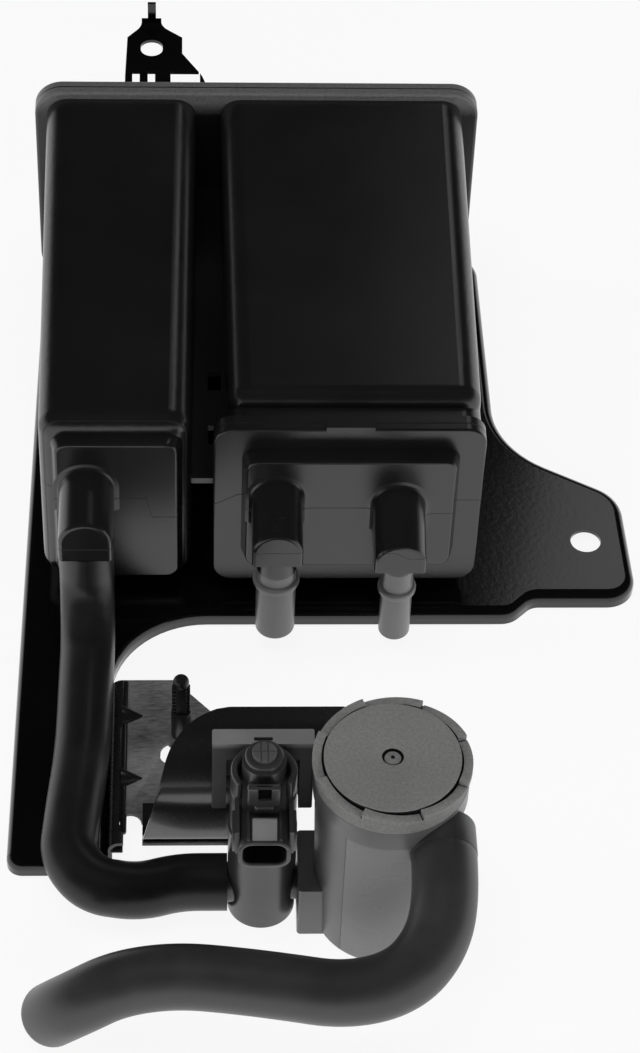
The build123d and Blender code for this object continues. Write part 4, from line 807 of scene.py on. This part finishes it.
@dataclass
class FilterCap:
    """Snap-on cap: a disc with a ringed centre and a rim of eight ramps."""

    x: float = 72.0
    y: float = -198.0
    bottom: float = 81.0
    top: float = 90.0
    radius: float = 28.7
    disc_radius: float = 24.6
    rim_gap: float = 0.75
    neck_radius: float = 27.9
    ring_bottom: float = 86.2
    ring_top: float = 87.2
    ramps: int = 8
    first_ramp: float = 20.0
    ramp_drop: float = 2.2
    ramp_steps: int = 11
    ramp_gap: float = 0.9
    centre_rings: Table = ((20.3, -1.7), (0.95, 0.95), (2.2, 0.5))

    def disc(self) -> bpy.types.Object:
        """The flat middle with its ring groove and gate nub."""
        disc = rod("filter_cap_disc", self.x, self.y, self.bottom, self.top, self.disc_radius, 96)
        pick_faces(disc, lambda face: face.normal.z > 0.9)
        step_in(0.35, 0.0)
        for inset, rise in self.centre_rings:
            step_in(inset, rise)
        bpy.ops.object.mode_set(mode="OBJECT")
        return soften(disc, 0.12, 2)

    def ramp(self) -> bpy.types.Object:
        """The first stretch of the rim: flush at its start, it falls toward its end."""
        start = self.first_ramp
        end = start + 360.0 / self.ramps - self.ramp_gap
        radii = (self.disc_radius + self.rim_gap, self.radius)
        piece = arc_bar(
            "filter_cap_ramp", (self.x, self.y), radii, (self.ring_top, self.top), start, end, self.ramp_steps
        )
        centre = place(self.x, self.y, 0.0)
        for index in range(self.ramp_steps):
            limit = math.radians(start + (index + 0.5) * (end - start) / self.ramp_steps)
            pick_points(
                piece,
                lambda point: point.z > (self.ring_top + 0.2) * MM
                and math.atan2(point.y - centre.y, point.x - centre.x) > limit,
            )
            bpy.ops.transform.translate(value=(0.0, 0.0, -self.ramp_drop / self.ramp_steps * MM))
            bpy.ops.object.mode_set(mode="OBJECT")
        return soften(piece, 0.15, 2)

    def build(self, paints: Paintbox) -> None:
        """Builds the cap in place of the CAD one."""
        ramp = self.ramp()
        centre = place(self.x, self.y, self.top)
        pitch = 360.0 / self.ramps
        others = [copied(ramp, turned(centre, index * pitch, "Z")) for index in range(1, self.ramps)]
        neck = rod("filter_cap_neck", self.x, self.y, self.bottom, self.ring_bottom, self.neck_radius, 96)
        ring = rod("filter_cap_ring", self.x, self.y, self.ring_bottom, self.ring_top, self.radius, 96)
        soften(ring, 0.2, 2)
        cap = joined([self.disc(), neck, ring, ramp, *others], "filter_cap_modelled")
        paints.dress_piece(cap, Finish.filter_cap_plastic)
        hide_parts("filter_cap")
        LOG.info("filter cap with %d ramps", self.ramps)


@dataclass
class ValveHead:
    """Details of the vent valve's upper moulding and its adjusting screw."""

    x: float = 26.5
    y: float = -195.0
    screw_radius: float = 4.5
    screw_bottom: float = 68.6
    screw_top: float = 89.6
    screw_band: float = 2.5
    groove_half: float = 0.2
    groove_depth: float = 0.7
    line_half: float = 0.12
    line_depth: float = 0.25
    hood_radii: tuple[float, float] = (9.4, 12.0)
    hood_heights: tuple[float, float] = (69.5, 80.0)
    latch_low: Point = (20.3, -209.5, 76.1)
    latch_high: Point = (32.1, -206.6, 86.0)
    latch_hole: tuple[float, float] = (4.8, 6.0)
    latch_hole_height: float = 82.6
    shroud_half: float = 9.3
    shroud_front: float = -220.0
    shroud_heights: tuple[float, float] = (55.0, 69.0)
    rails: tuple[tuple[str, float, float, float, float, float], ...] = (
        ("inner", 5.7, 1.1, 0.3, 2.0, 1.3),
        ("outer", 10.9, 1.3, 3.0, 9.0, 1.0),
    )
    rail_length: float = 14.0

    def screw(self, paints: Paintbox) -> None:
        """The screw's slotted disc: a band between two grooves, crossed by a thin line."""
        disc = rod("pole_screw_disc", self.x, self.y, self.screw_bottom, self.screw_top, self.screw_radius)
        soften(disc, 0.35, 3)
        reach = self.screw_radius + 1.0
        top = self.screw_top
        for shift, across, along, depth in (
            (-self.screw_band / 2, self.groove_half, reach, self.groove_depth),
            (self.screw_band / 2, self.groove_half, reach, self.groove_depth),
            (0.0, reach, self.line_half, self.line_depth),
        ):
            middle = self.x + shift
            low = (middle - across, self.y - along, top - depth)
            carve(disc, block("groove", low, (middle + across, self.y + along, top + 1.0)))
        paints.dress_piece(smoothed(disc), Finish.dark_steel)
        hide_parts("pole_screw")

    def hood(self, paints: Paintbox) -> None:
        """The two curved shoulders beside the neck."""
        for name, start, end in (("hood_left", 112.0, 218.0), ("hood_right", -38.0, 68.0)):
            shoulder = arc_bar(name, (self.x, self.y), self.hood_radii, self.hood_heights, start, end, 14)
            paints.dress_piece(soften(shoulder, 1.1, 4), Finish.valve_plastic)

    def latch_box(self, name: str, past: float, near: float, far: float) -> bpy.types.Object:
        """A box as wide and high as the latch's hole, or past it all round, between two depths."""
        half_width, half_height = (size / 2 + past for size in self.latch_hole)
        low = (self.x - half_width, near, self.latch_hole_height - half_height)
        return block(name, low, (self.x + half_width, far, self.latch_hole_height + half_height))

    def latch(self, paints: Paintbox) -> None:
        """The latch block with its square hole, a near black block in the hole as painted shade, and the
        rounded catch below it.
        """
        latch = soften(block("latch_block", self.latch_low, self.latch_high), 0.9, 3)
        front = self.latch_low[1]
        carve(latch, self.latch_box("latch_hole", 0.0, front - 1.0, front + 4.0))
        paints.dress_piece(smoothed(latch), Finish.valve_plastic)
        # Painted shade: a near black block set inside the latch's hole.
        shade_block = self.latch_box("latch_painted_shade", 0.4, front + 1.0, front + 1.8)
        paints.dress_piece(soften(shade_block, 0.1, 2), Finish.recess_rubber)
        catch = block("latch_catch", (self.x - 3.6, front - 0.6, 72.4), (self.x + 3.6, front + 2.5, 76.4))
        paints.dress_piece(soften(catch, 1.2, 4), Finish.valve_plastic)

    def shroud(self, paints: Paintbox) -> None:
        """The plate, the rails and the rounded lip of the plug socket."""
        low, high = self.shroud_heights
        front = self.shroud_front
        near = (self.x - 4.4, front + 0.4, high - 0.5)
        plate = block("socket_plate", near, (self.x + 4.4, front + 1.8, high + 8.6))
        plate.data.transform(turned(place(self.x, *near[1:]), -28.0, "X"))
        # The plate's pale finish is painted light.
        paints.dress_piece(soften(plate, 0.3, 2), Finish.worn_plastic)
        for side, hand in ((-1, "left"), (1, "right")):
            for name, reach, width, start, drop, rise in self.rails:
                middle = self.x + side * reach
                rail = block(
                    f"{name}_rail_{hand}",
                    (middle - width / 2, front + start, high - drop),
                    (middle + width / 2, front + self.rail_length, high + rise),
                )
                paints.dress_piece(soften(rail, 0.3, 2), Finish.valve_plastic)
        lip = block(
            "socket_lip",
            (self.x - self.shroud_half - 0.15, front - 0.3, low - 0.15),
            (self.x + self.shroud_half + 0.15, front + 1.4, high + 0.15),
        )
        self.round_corners(lip, 5.0)
        mouth = block(
            "socket_mouth",
            (self.x - self.shroud_half + 1.5, front - 2.0, low + 1.5),
            (self.x + self.shroud_half - 1.5, front + 3.0, high - 1.5),
        )
        self.round_corners(mouth, 3.7)
        carve(lip, mouth)
        paints.dress_piece(soften(lip, 0.4, 3, 50.0), Finish.valve_plastic)

    @staticmethod
    def round_corners(piece: bpy.types.Object, radius: float) -> None:
        """Rounds the four edges of a box that run along Y."""
        hold(piece)
        bpy.ops.object.mode_set(mode="EDIT")
        bpy.ops.mesh.select_mode(type="EDGE")
        bpy.ops.mesh.select_all(action="DESELECT")
        bpy.ops.object.mode_set(mode="OBJECT")
        vertices = piece.data.vertices
        for edge in piece.data.edges:
            first, second = (vertices[index].co for index in edge.vertices)
            edge.select = abs(first.y - second.y) > 0.5 * MM
        bpy.ops.object.mode_set(mode="EDIT")
        bpy.ops.mesh.bevel(offset=radius * MM, segments=8, affect="EDGES")
        bpy.ops.object.mode_set(mode="OBJECT")

    def build(self, paints: Paintbox) -> None:
        """Builds every detail of the valve's head."""
        self.screw(paints)
        self.hood(paints)
        self.latch(paints)
        self.shroud(paints)
        LOG.info("valve head")


@dataclass
class ClipPlate:
    """Pressed clip plate: rolled bend with two gussets, a round hole and a keyhole tongue."""

    top: float = 12.0
    hole: Point = (-6.2, -131.9, 5.25)
    ridge_low: Point = (-26.6, -171.0, 9.9)
    ridge_high: Point = (-24.0, -95.2, 12.5)
    bend_x: float = -25.5
    gusset_ys: tuple[float, float] = (-113.5, -144.6)
    gusset_reach: float = 8.5
    gusset_half: float = 5.2
    gusset_rise: float = 3.6
    tongue_low: Point = (-30.0, -177.5, 9.6)
    tongue_high: Point = (-25.4, -169.0, 11.0)
    tongue_tilt: float = 24.0

    def gusset(self, index: int, y: float) -> bpy.types.Object:
        """One half-cone pressed up in the bend, its point toward the plate."""
        deselect_all()
        bpy.ops.mesh.primitive_cone_add(
            vertices=32,
            radius1=self.gusset_half * MM,
            radius2=0.4 * MM,
            depth=self.gusset_reach * MM,
            location=place(self.bend_x + self.gusset_reach / 2 - 1.0, y, self.top - 0.4),
            rotation=(0.0, math.radians(90.0), 0.0),
        )
        piece = settle(bpy.context.object, f"bend_gusset_{index + 1}")
        middle = place(0.0, 0.0, self.top - 0.4)
        squash = Matrix.Diagonal((1.0, 1.0, self.gusset_rise / self.gusset_half, 1.0))
        piece.data.transform(Matrix.Translation(middle) @ squash @ Matrix.Translation(-middle))
        return soften(piece, 0.8, 3, 30.0)

    def build(self, paints: Paintbox) -> None:
        """Opens the plate's hole and builds its ridge, gussets and tongue."""
        deselect_all()
        plate = copied(bpy.data.objects["clip_plate"], Matrix())
        plate.name = "clip_plate_pressed"
        pick_faces(plate, lambda face: True)
        bpy.ops.mesh.remove_doubles(threshold=1e-6)
        bpy.ops.object.mode_set(mode="OBJECT")
        x, y, radius = self.hole
        carve(plate, rod("hole", x, y, self.top - 6.0, self.top + 4.0, radius, 48))
        paints.dress_piece(smoothed(plate, 35.0), Finish.pressed_paint)
        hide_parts("clip_plate")
        ridge = soften(block("bend_ridge", self.ridge_low, self.ridge_high), 1.2, 5)
        paints.dress_piece(ridge, Finish.plate_paint)
        for index, y in enumerate(self.gusset_ys):
            paints.dress_piece(self.gusset(index, y), Finish.plate_paint)
        tongue = block("keyhole_tongue", self.tongue_low, self.tongue_high)
        tongue.data.transform(turned(place(*self.tongue_high), self.tongue_tilt, "X"))
        paints.dress_piece(soften(tongue, 0.3, 2), Finish.pressed_paint)
        LOG.info("clip plate with %d gussets", len(self.gusset_ys))


@dataclass
class ValveBracket:
    """Sheet that rolls down in one wide bend from the shelf to the clip plate."""

    shelf_top: float = 55.0
    shelf_back: float = -145.0
    skirt_y: float = -176.0
    bend: float = 24.0
    foot_top: float = 12.3
    foot_bend: float = 3.0
    foot_end: float = -158.0
    sheet: float = 1.5
    rows: int = 72
    columns: int = 40
    left_edge: Table = (
        (0.0, 14.9), (0.7, 10.5), (2.7, 6.5), (5.5, 2.4), (8.9, -0.9), (12.0, -3.6), (15.2, -5.6),
        (18.8, -7.5), (22.8, -9.0), (30.3, -10.9), (38.6, -12.7), (50.9, -15.3), (63.7, -18.0), (90.0, -18.0),
    )
    right_edge: Table = ((0.0, 58.0), (21.0, 58.0), (27.0, 50.0), (40.0, 36.0), (90.0, 36.0))

    @staticmethod
    def read(table: Table, along: float) -> float:
        """Reads a value between two rows of a table."""
        for (start, first), (end, last) in zip(table, table[1:]):
            if along <= end:
                return first + (last - first) * (along - start) / (end - start)
        return table[-1][1]

    @property
    def stretches(self) -> tuple[float, float, float, float]:
        """Lengths of the flat shelf, the wide bend, the flat skirt and the foot's bend."""
        shelf = self.shelf_back - (self.skirt_y + self.bend)
        skirt = self.shelf_top - self.bend - self.foot_top - self.foot_bend
        return shelf, self.bend * math.pi / 2, skirt, self.foot_bend * math.pi / 2

    def profile(self, along: float) -> tuple[float, float]:
        """Depth and height of the sheet's outer face at a length from its back edge."""
        shelf, roll, skirt, turn = self.stretches
        if along < shelf:
            return self.shelf_back - along, self.shelf_top
        if along < shelf + roll:
            angle = (along - shelf) / self.bend
            return (
                self.skirt_y + self.bend - self.bend * math.sin(angle),
                self.shelf_top - self.bend + self.bend * math.cos(angle),
            )
        if along < shelf + roll + skirt:
            return self.skirt_y, self.shelf_top - self.bend - (along - shelf - roll)
        if along < shelf + roll + skirt + turn:
            angle = (along - shelf - roll - skirt) / self.foot_bend
            return (
                self.skirt_y + self.foot_bend * (1.0 - math.cos(angle)),
                self.foot_top + self.foot_bend * (1.0 - math.sin(angle)),
            )
        return self.skirt_y + self.foot_bend + along - shelf - roll - skirt - turn, self.foot_top

    @property
    def length(self) -> float:
        """Length of the sheet's outer face along its bends."""
        return sum(self.stretches) + self.foot_end - self.skirt_y - self.foot_bend

    def build(self, paints: Paintbox) -> None:
        """Rolls a flat grid into the bracket and gives it its thickness."""
        deselect_all()
        bpy.ops.mesh.primitive_grid_add(x_subdivisions=self.columns, y_subdivisions=self.rows, size=1.0)
        sheet = settle(bpy.context.object, "valve_bracket_rolled")
        for vertex in sheet.data.vertices:
            along = (0.5 - vertex.co.y) * self.length
            left, right = self.read(self.left_edge, along), self.read(self.right_edge, along)
            depth, height = self.profile(along)
            vertex.co = place(left + (right - left) * (vertex.co.x + 0.5), depth, height)
        pick_faces(sheet, lambda face: True)
        bpy.ops.mesh.normals_make_consistent(inside=False)
        bpy.ops.object.mode_set(mode="OBJECT")
        upward = next(face for face in sheet.data.polygons if face.center.z > (self.shelf_top - 0.2) * MM)
        if upward.normal.z < 0.0:
            sheet.data.flip_normals()
        hold(sheet)
        wall = sheet.modifiers.new("wall", "SOLIDIFY")
        wall.thickness = self.sheet * MM
        wall.offset = -1.0
        bpy.ops.object.modifier_apply(modifier=wall.name)
        soften(sheet, 0.35, 2, 50.0)
        paints.dress_piece(sheet, Finish.plate_paint)
        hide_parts("valve_bracket")
        LOG.info("valve bracket, %.0f mm along its bends", self.length)


@dataclass
class TreeClip:
    """Push-in clip: a ball on a column that has saw teeth on two sides only."""

    x: float = -3.4
    y: float = -122.6
    head_bottom: float = 8.3
    head_thick: float = 2.2
    head_radius: float = 6.0
    stem_radius: float = 2.1
    tip: float = 46.0
    ball_radius: float = 3.1
    body_radius: float = 3.9
    body_heights: tuple[float, float] = (12.0, 26.0)
    teeth: int = 7
    first_tooth: float = 27.0
    tooth_pitch: float = 2.0
    tooth_reach: float = 3.5

    def build(self, paints: Paintbox) -> None:
        """Builds the clip in place of the CAD one."""
        column = block(
            "clip_column",
            (self.x - self.stem_radius, self.y - self.stem_radius, self.head_bottom + 0.5),
            (self.x + self.stem_radius, self.y + self.stem_radius, self.tip - self.ball_radius),
        )
        head_top = self.head_bottom + self.head_thick
        head = rod("clip_head", self.x, self.y, self.head_bottom, head_top, self.head_radius)
        body = rod("clip_body", self.x, self.y, *self.body_heights, self.body_radius, 40)
        pieces = [soften(column, 0.5, 2), soften(head, 0.4), soften(body, 0.7, 3)]
        tooth = block(
            "clip_tooth",
            (self.x - self.tooth_reach, self.y - 1.5, self.first_tooth),
            (self.x + self.tooth_reach, self.y + 1.5, self.first_tooth + self.tooth_pitch * 0.5),
        )
        pieces.append(soften(tooth, 0.3, 2))
        for index in range(1, self.teeth):
            pieces.append(copied(tooth, Matrix.Translation((0.0, 0.0, index * self.tooth_pitch * MM))))
        deselect_all()
        bpy.ops.mesh.primitive_uv_sphere_add(
            segments=40, ring_count=24, radius=self.ball_radius * MM,
            location=place(self.x, self.y, self.tip - self.ball_radius),
        )
        ball = settle(bpy.context.object, "clip_ball")
        bpy.ops.object.shade_smooth()
        clip = joined([*pieces, ball], "tree_clip_modelled")
        paints.dress_piece(clip, Finish.clip_plastic)
        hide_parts("tree_clip")
        LOG.info("tree clip with %d teeth", self.teeth)


@dataclass
class CanisterTrim:
    """Small marks of the canister's mouldings."""

    gate_x: float = 34.1
    gate_half: float = 2.9
    gate_ys: tuple[float, float] = (-73.5, -66.5)
    gate_top: float = 74.55
    gate_tilt: float = 17.6

    def build(self, paints: Paintbox) -> None:
        """Builds the gate mark on the tank port."""
        near, far = self.gate_ys
        left, right = self.gate_x - self.gate_half, self.gate_x + self.gate_half
        gate = block("gate_mark", (left, near, self.gate_top - 2.0), (right, far, self.gate_top))
        gate.data.transform(turned(place(self.gate_x, (near + far) / 2, self.gate_top), self.gate_tilt, "X"))
        paints.dress_piece(soften(gate, 0.3, 2), Finish.housing_nylon)
        LOG.info("gate mark")


@dataclass
class AirHose:
    """The free fresh air hose, a tube along one smooth spline."""

    cuff_x: float = 90.0
    cuff_z: float = 67.5
    cuff_span: tuple[float, float] = (-212.6, -226.5)
    cuff_radius: float = 12.0
    diameter: float = 23.6
    bore: float = 16.8
    around: int = 40
    rim: float = 0.5
    route: list[Point] = field(
        default_factory=lambda: [
            (90.0, -225.0, 67.5),
            (90.0, -241.0, 67.5),
            (86.5, -256.5, 59.5),
            (75.0, -266.8, 50.5),
            (55.0, -267.5, 43.0),
            (32.0, -260.0, 38.5),
            (13.4, -256.4, 37.4),
            (-1.8, -254.4, 36.9),
            (-15.6, -254.7, 35.9),
            (-27.6, -256.4, 33.8),
            (-38.3, -257.7, 27.0),
            (-45.7, -255.7, 18.5),
            (-49.9, -251.6, 9.5),
        ]
    )

    def cuff(self, paints: Paintbox) -> None:
        """The hose's thick end, pushed up to the filter body."""
        start, end = self.cuff_span
        deselect_all()
        bpy.ops.mesh.primitive_cylinder_add(
            vertices=64,
            radius=self.cuff_radius * MM,
            depth=(start - end) * MM,
            location=place(self.cuff_x, (start + end) / 2, self.cuff_z),
            rotation=(math.radians(90.0), 0.0, 0.0),
        )
        cuff = settle(bpy.context.object, "air_hose_cuff")
        paints.dress_piece(soften(cuff, 1.2, 4), Finish.bloomed_rubber)

    def centreline(self) -> list[Vector]:
        """Points along the route's smooth spline."""
        curve = bpy.data.curves.new("air_hose_route", "CURVE")
        curve.dimensions = "3D"
        curve.resolution_u = 10
        spline = curve.splines.new("NURBS")
        spline.points.add(len(self.route) - 1)
        for point, where in zip(spline.points, self.route):
            point.co = (*place(*where), 1.0)
        spline.order_u = 3
        spline.use_endpoint_u = True
        holder = bpy.data.objects.new("air_hose_route", curve)
        bpy.context.scene.collection.objects.link(holder)
        depsgraph = bpy.context.evaluated_depsgraph_get()
        line = bpy.data.meshes.new_from_object(holder.evaluated_get(depsgraph))
        points = [vertex.co.copy() for vertex in line.vertices]
        bpy.data.objects.remove(holder)
        bpy.data.curves.remove(curve)
        bpy.data.meshes.remove(line)
        return points

    def build(self, paints: Paintbox) -> None:
        """Args:
            paints: The finishes of the part.
        """
        points = self.centreline()
        outer, inner = self.diameter * MM, self.bore * MM
        tube = tube_along("air_hose_tube", points, outer, inner, self.around, self.rim * MM)
        paints.dress_piece(tube, Finish.bloomed_rubber)
        self.cuff(paints)
        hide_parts("air_hose")


def tube_along(
    name: str, points: list[Vector], outer: float, inner: float, around: int, rim: float
) -> bpy.types.Object:
    """A tube with a wall and softly rounded ends along a line.

    Args:
        name: The piece's name.
        points: The line's points, close together.
        outer: Outer diameter in metres.
        inner: Bore in metres.
        around: Faces around the tube.
        rim: Rounding of the ends in metres.

    Returns:
        The tube as one closed mesh.
    """
    tangents = [
        (points[min(i + 1, len(points) - 1)] - points[max(i - 1, 0)]).normalized() for i in range(len(points))
    ]
    side = tangents[0].orthogonal().normalized()
    frames: list[tuple[Vector, Vector]] = []
    for tangent in tangents:
        side = (side - tangent * side.dot(tangent)).normalized()
        frames.append((side.copy(), tangent.cross(side)))
    last = len(points) - 1
    wide, narrow, part = outer / 2, inner / 2, rim * 0.3
    rings = [(0, 0.0, narrow + rim), (0, 0.0, wide - rim), (0, part, wide - part), (0, rim, wide)]
    rings += [(i, 0.0, wide) for i in range(1, last)]
    rings += [(last, -rim, wide), (last, -part, wide - part), (last, 0.0, wide - rim)]
    rings += [(last, 0.0, narrow + rim), (last, -part, narrow + part), (last, -rim, narrow)]
    rings += [(i, 0.0, narrow) for i in range(last - 1, 0, -1)]
    rings += [(0, rim, narrow), (0, part, narrow + part)]
    shape = bmesh.new()
    loops = []
    for index, along, radius in rings:
        first, second = frames[index]
        centre = points[index] + tangents[index] * along
        turns = (math.tau * k / around for k in range(around))
        spokes = (first * math.cos(turn) + second * math.sin(turn) for turn in turns)
        loops.append([shape.verts.new(centre + spoke * radius) for spoke in spokes])
    for here, there in zip(loops, loops[1:] + loops[:1]):
        for k in range(around):
            shape.faces.new((here[k], here[(k + 1) % around], there[(k + 1) % around], there[k]))
    bmesh.ops.recalc_face_normals(shape, faces=shape.faces)
    mesh = bpy.data.meshes.new(name)
    shape.to_mesh(mesh)
    shape.free()
    mesh.shade_smooth()
    piece = bpy.data.objects.new(name, mesh)
    bpy.context.scene.collection.objects.link(piece)
    return piece


@dataclass
class Studio:
    """Floor, soft lamps, plain world and the camera at the photograph's angle."""

    focal_pixels: float = 3100.0
    image_width: int = 640
    image_height: int = 1053
    elevation: float = math.radians(46.5)
    distance: float = 1300.0
    column: float = 190.0
    sensor: float = 36.0
    wall_top: float = 0.07
    ceiling: float = 0.28
    wall_light: float = 0.9
    ceiling_light: float = 0.012
    glow: float = 0.9
    paper_tone: Colour = (0.8, 0.8, 0.8)
    shade_tone: Colour = (0.01, 0.01, 0.01)
    floor_size: float = 12.0
    floor_drop: float = 0.0002
    shade_low: tuple[float, float] = (-58.0, -48.0)
    shade_high: tuple[float, float] = (122.0, 160.0)
    shade_edge: float = 8.0

    def camera(self) -> None:
        """Puts the camera where the photograph was taken from."""
        turn = math.atan((self.image_width / 2 - self.column) / self.focal_pixels)
        ahead = Vector((0.0, math.cos(self.elevation), -math.sin(self.elevation)))
        right = Vector((1.0, 0.0, 0.0))
        up = right.cross(ahead)
        eye = place(0.0, 0.0, 0.0) - ahead * self.distance * MM
        look = ahead * math.cos(turn) + right * math.sin(turn)
        across = right * math.cos(turn) - ahead * math.sin(turn)
        data = bpy.data.cameras.new("camera")
        data.sensor_fit = "VERTICAL"
        data.sensor_height = self.sensor
        data.lens = self.focal_pixels / self.image_height * self.sensor
        data.clip_start = 0.05
        data.clip_end = 30.0
        camera = bpy.data.objects.new("camera", data)
        bpy.context.scene.collection.objects.link(camera)
        facing = Matrix((across, up, -look)).transposed().to_4x4()
        camera.matrix_world = Matrix.Translation(eye) @ facing
        bpy.context.scene.camera = camera

    @staticmethod
    def lamp(
        name: str, eye: Vector, aim: Vector, size: tuple[float, float], power: float, glossy: bool = True
    ) -> None:
        """Adds one soft lamp.

        Args:
            name: The lamp's name.
            eye: Where it hangs.
            aim: What it points at.
            size: Its width and height in metres.
            power: Its power in watts.
            glossy: Whether it is seen in reflections.
        """
        data = bpy.data.lights.new(name, "AREA")
        data.shape = "RECTANGLE"
        data.size, data.size_y = size
        data.energy = power
        lamp = bpy.data.objects.new(name, data)
        bpy.context.scene.collection.objects.link(lamp)
        lamp.location = eye
        lamp.rotation_euler = (aim - eye).to_track_quat("-Z", "Y").to_euler()
        lamp.visible_glossy = glossy

    def world(self) -> None:
        """A studio that is pale near the horizon and dark overhead; the camera sees it white."""
        sky = bpy.data.worlds.new("sky")
        bpy.context.scene.world = sky
        sky.use_nodes = True
        nodes, links = sky.node_tree.nodes, sky.node_tree.links
        nodes.clear()
        output, seen, room, coords, split, ramp, path, mix = (
            nodes.new(f"ShaderNode{kind}")
            for kind in (
                "OutputWorld", "Background", "Background", "TexCoord",
                "SeparateXYZ", "MapRange", "LightPath", "MixShader",
            )
        )
        seen.inputs["Color"].default_value = (1.0, 1.0, 1.0, 1.0)
        for socket, value in (
            ("From Min", self.wall_top),
            ("From Max", self.ceiling),
            ("To Min", self.wall_light),
            ("To Max", self.ceiling_light),
        ):
            ramp.inputs[socket].default_value = value
        for source, target in (
            (coords.outputs["Generated"], split.inputs[0]),
            (split.outputs["Z"], ramp.inputs["Value"]),
            (ramp.outputs["Result"], room.inputs["Strength"]),
            (path.outputs["Is Camera Ray"], mix.inputs[0]),
            (room.outputs[0], mix.inputs[1]),
            (seen.outputs[0], mix.inputs[2]),
            (mix.outputs[0], output.inputs["Surface"]),
        ):
            links.new(source, target)

    def floor(self) -> None:
        """A plain pale floor that stays white around the part and keeps its shadow, with painted shade under
        the tray.
        """
        graph = Graph("studio_floor")
        path = graph.node("ShaderNodeLightPath", {}, {})
        straight, mirrored = (Wire(graph, path.outputs[f"Is {kind} Ray"]) for kind in ("Camera", "Glossy"))
        seen = graph.math("MAXIMUM", straight, mirrored)
        coords = graph.coordinates()
        low, high = place(*self.shade_low, 0.0), place(*self.shade_high, 0.0)
        edge = self.shade_edge * MM
        # Painted shade: inside this box under the tray the floor turns dark and loses its glow.
        shade = 1.0
        for which, near, far in (("X", low.x, high.x), ("Y", low.y, high.y)):
            along = graph.axis(coords, which)
            shade = along.fitted(near - edge, near) * (1.0 - along.fitted(far, far + edge)) * shade
        colour = graph.tint(shade, self.paper_tone, self.shade_tone)
        paper = graph.node("ShaderNodeBsdfDiffuse", {}, {"Color": colour})
        glow = graph.node("ShaderNodeEmission", {}, {"Color": (1.0, 1.0, 1.0, 1.0), "Strength": 1.0})
        lit = seen * (1.0 - shade) * self.glow
        shaders = {0: lit, 1: Wire(graph, paper.outputs[0]), 2: Wire(graph, glow.outputs[0])}
        mix = graph.node("ShaderNodeMixShader", {}, shaders)
        graph.tree.links.new(mix.outputs[0], graph.output.inputs["Surface"])
        deselect_all()
        bpy.ops.mesh.primitive_plane_add(size=self.floor_size, location=(0.0, 0.0, -self.floor_drop))
        plane = bpy.context.object
        plane.name = "studio_floor"
        plane.data.materials.append(graph.material)

    def build(self) -> None:
        """Sets up the whole studio."""
        self.camera()
        self.world()
        self.floor()
        middle = Vector((0.0, 0.0, 0.05))
        self.lamp("top_lamp", Vector((-0.2, -0.4, 1.8)), middle, (1.0, 0.8), 12.0, False)
        self.lamp("front_lamp", Vector((0.2, -1.7, 0.5)), middle, (1.8, 0.6), 14.0, False)
        self.lamp("left_lamp", Vector((-1.5, 0.1, 0.6)), middle, (0.6, 1.6), 12.0, False)
        self.lamp("right_lamp", Vector((1.5, 0.1, 0.6)), middle, (0.6, 1.6), 10.0, False)
        self.lamp("ear_lamp", place(430.0, 1000.0, 1090.0), place(150.0, -15.0, 7.0), (0.25, 0.5), 0.35)


def node_finishes() -> dict[str, Finish]:
    """The finish of every CAD node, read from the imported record."""
    finishes = {part["node"]: Finish[part["material_slot"]] for part in frame["record"]["subparts"]}
    finishes["clip_plate"] = Finish.pressed_paint
    return finishes


def main() -> None:
    """Builds the studio, dresses the CAD nodes and adds the pieces."""
    logging.basicConfig(level=logging.INFO, format="%(message)s")
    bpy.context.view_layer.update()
    bpy.context.scene.view_settings.view_transform = "Standard"
    Studio().build()
    paints = Paintbox()
    for node, finish in node_finishes().items():
        paints.dress_node(node, finish)
    for assembly in (
        FilterCap(), ValveHead(), ValveBracket(), ClipPlate(), TreeClip(), CanisterTrim(), AirHose()
    ):
        assembly.build(paints)


if __name__ == "__main__":
    main()
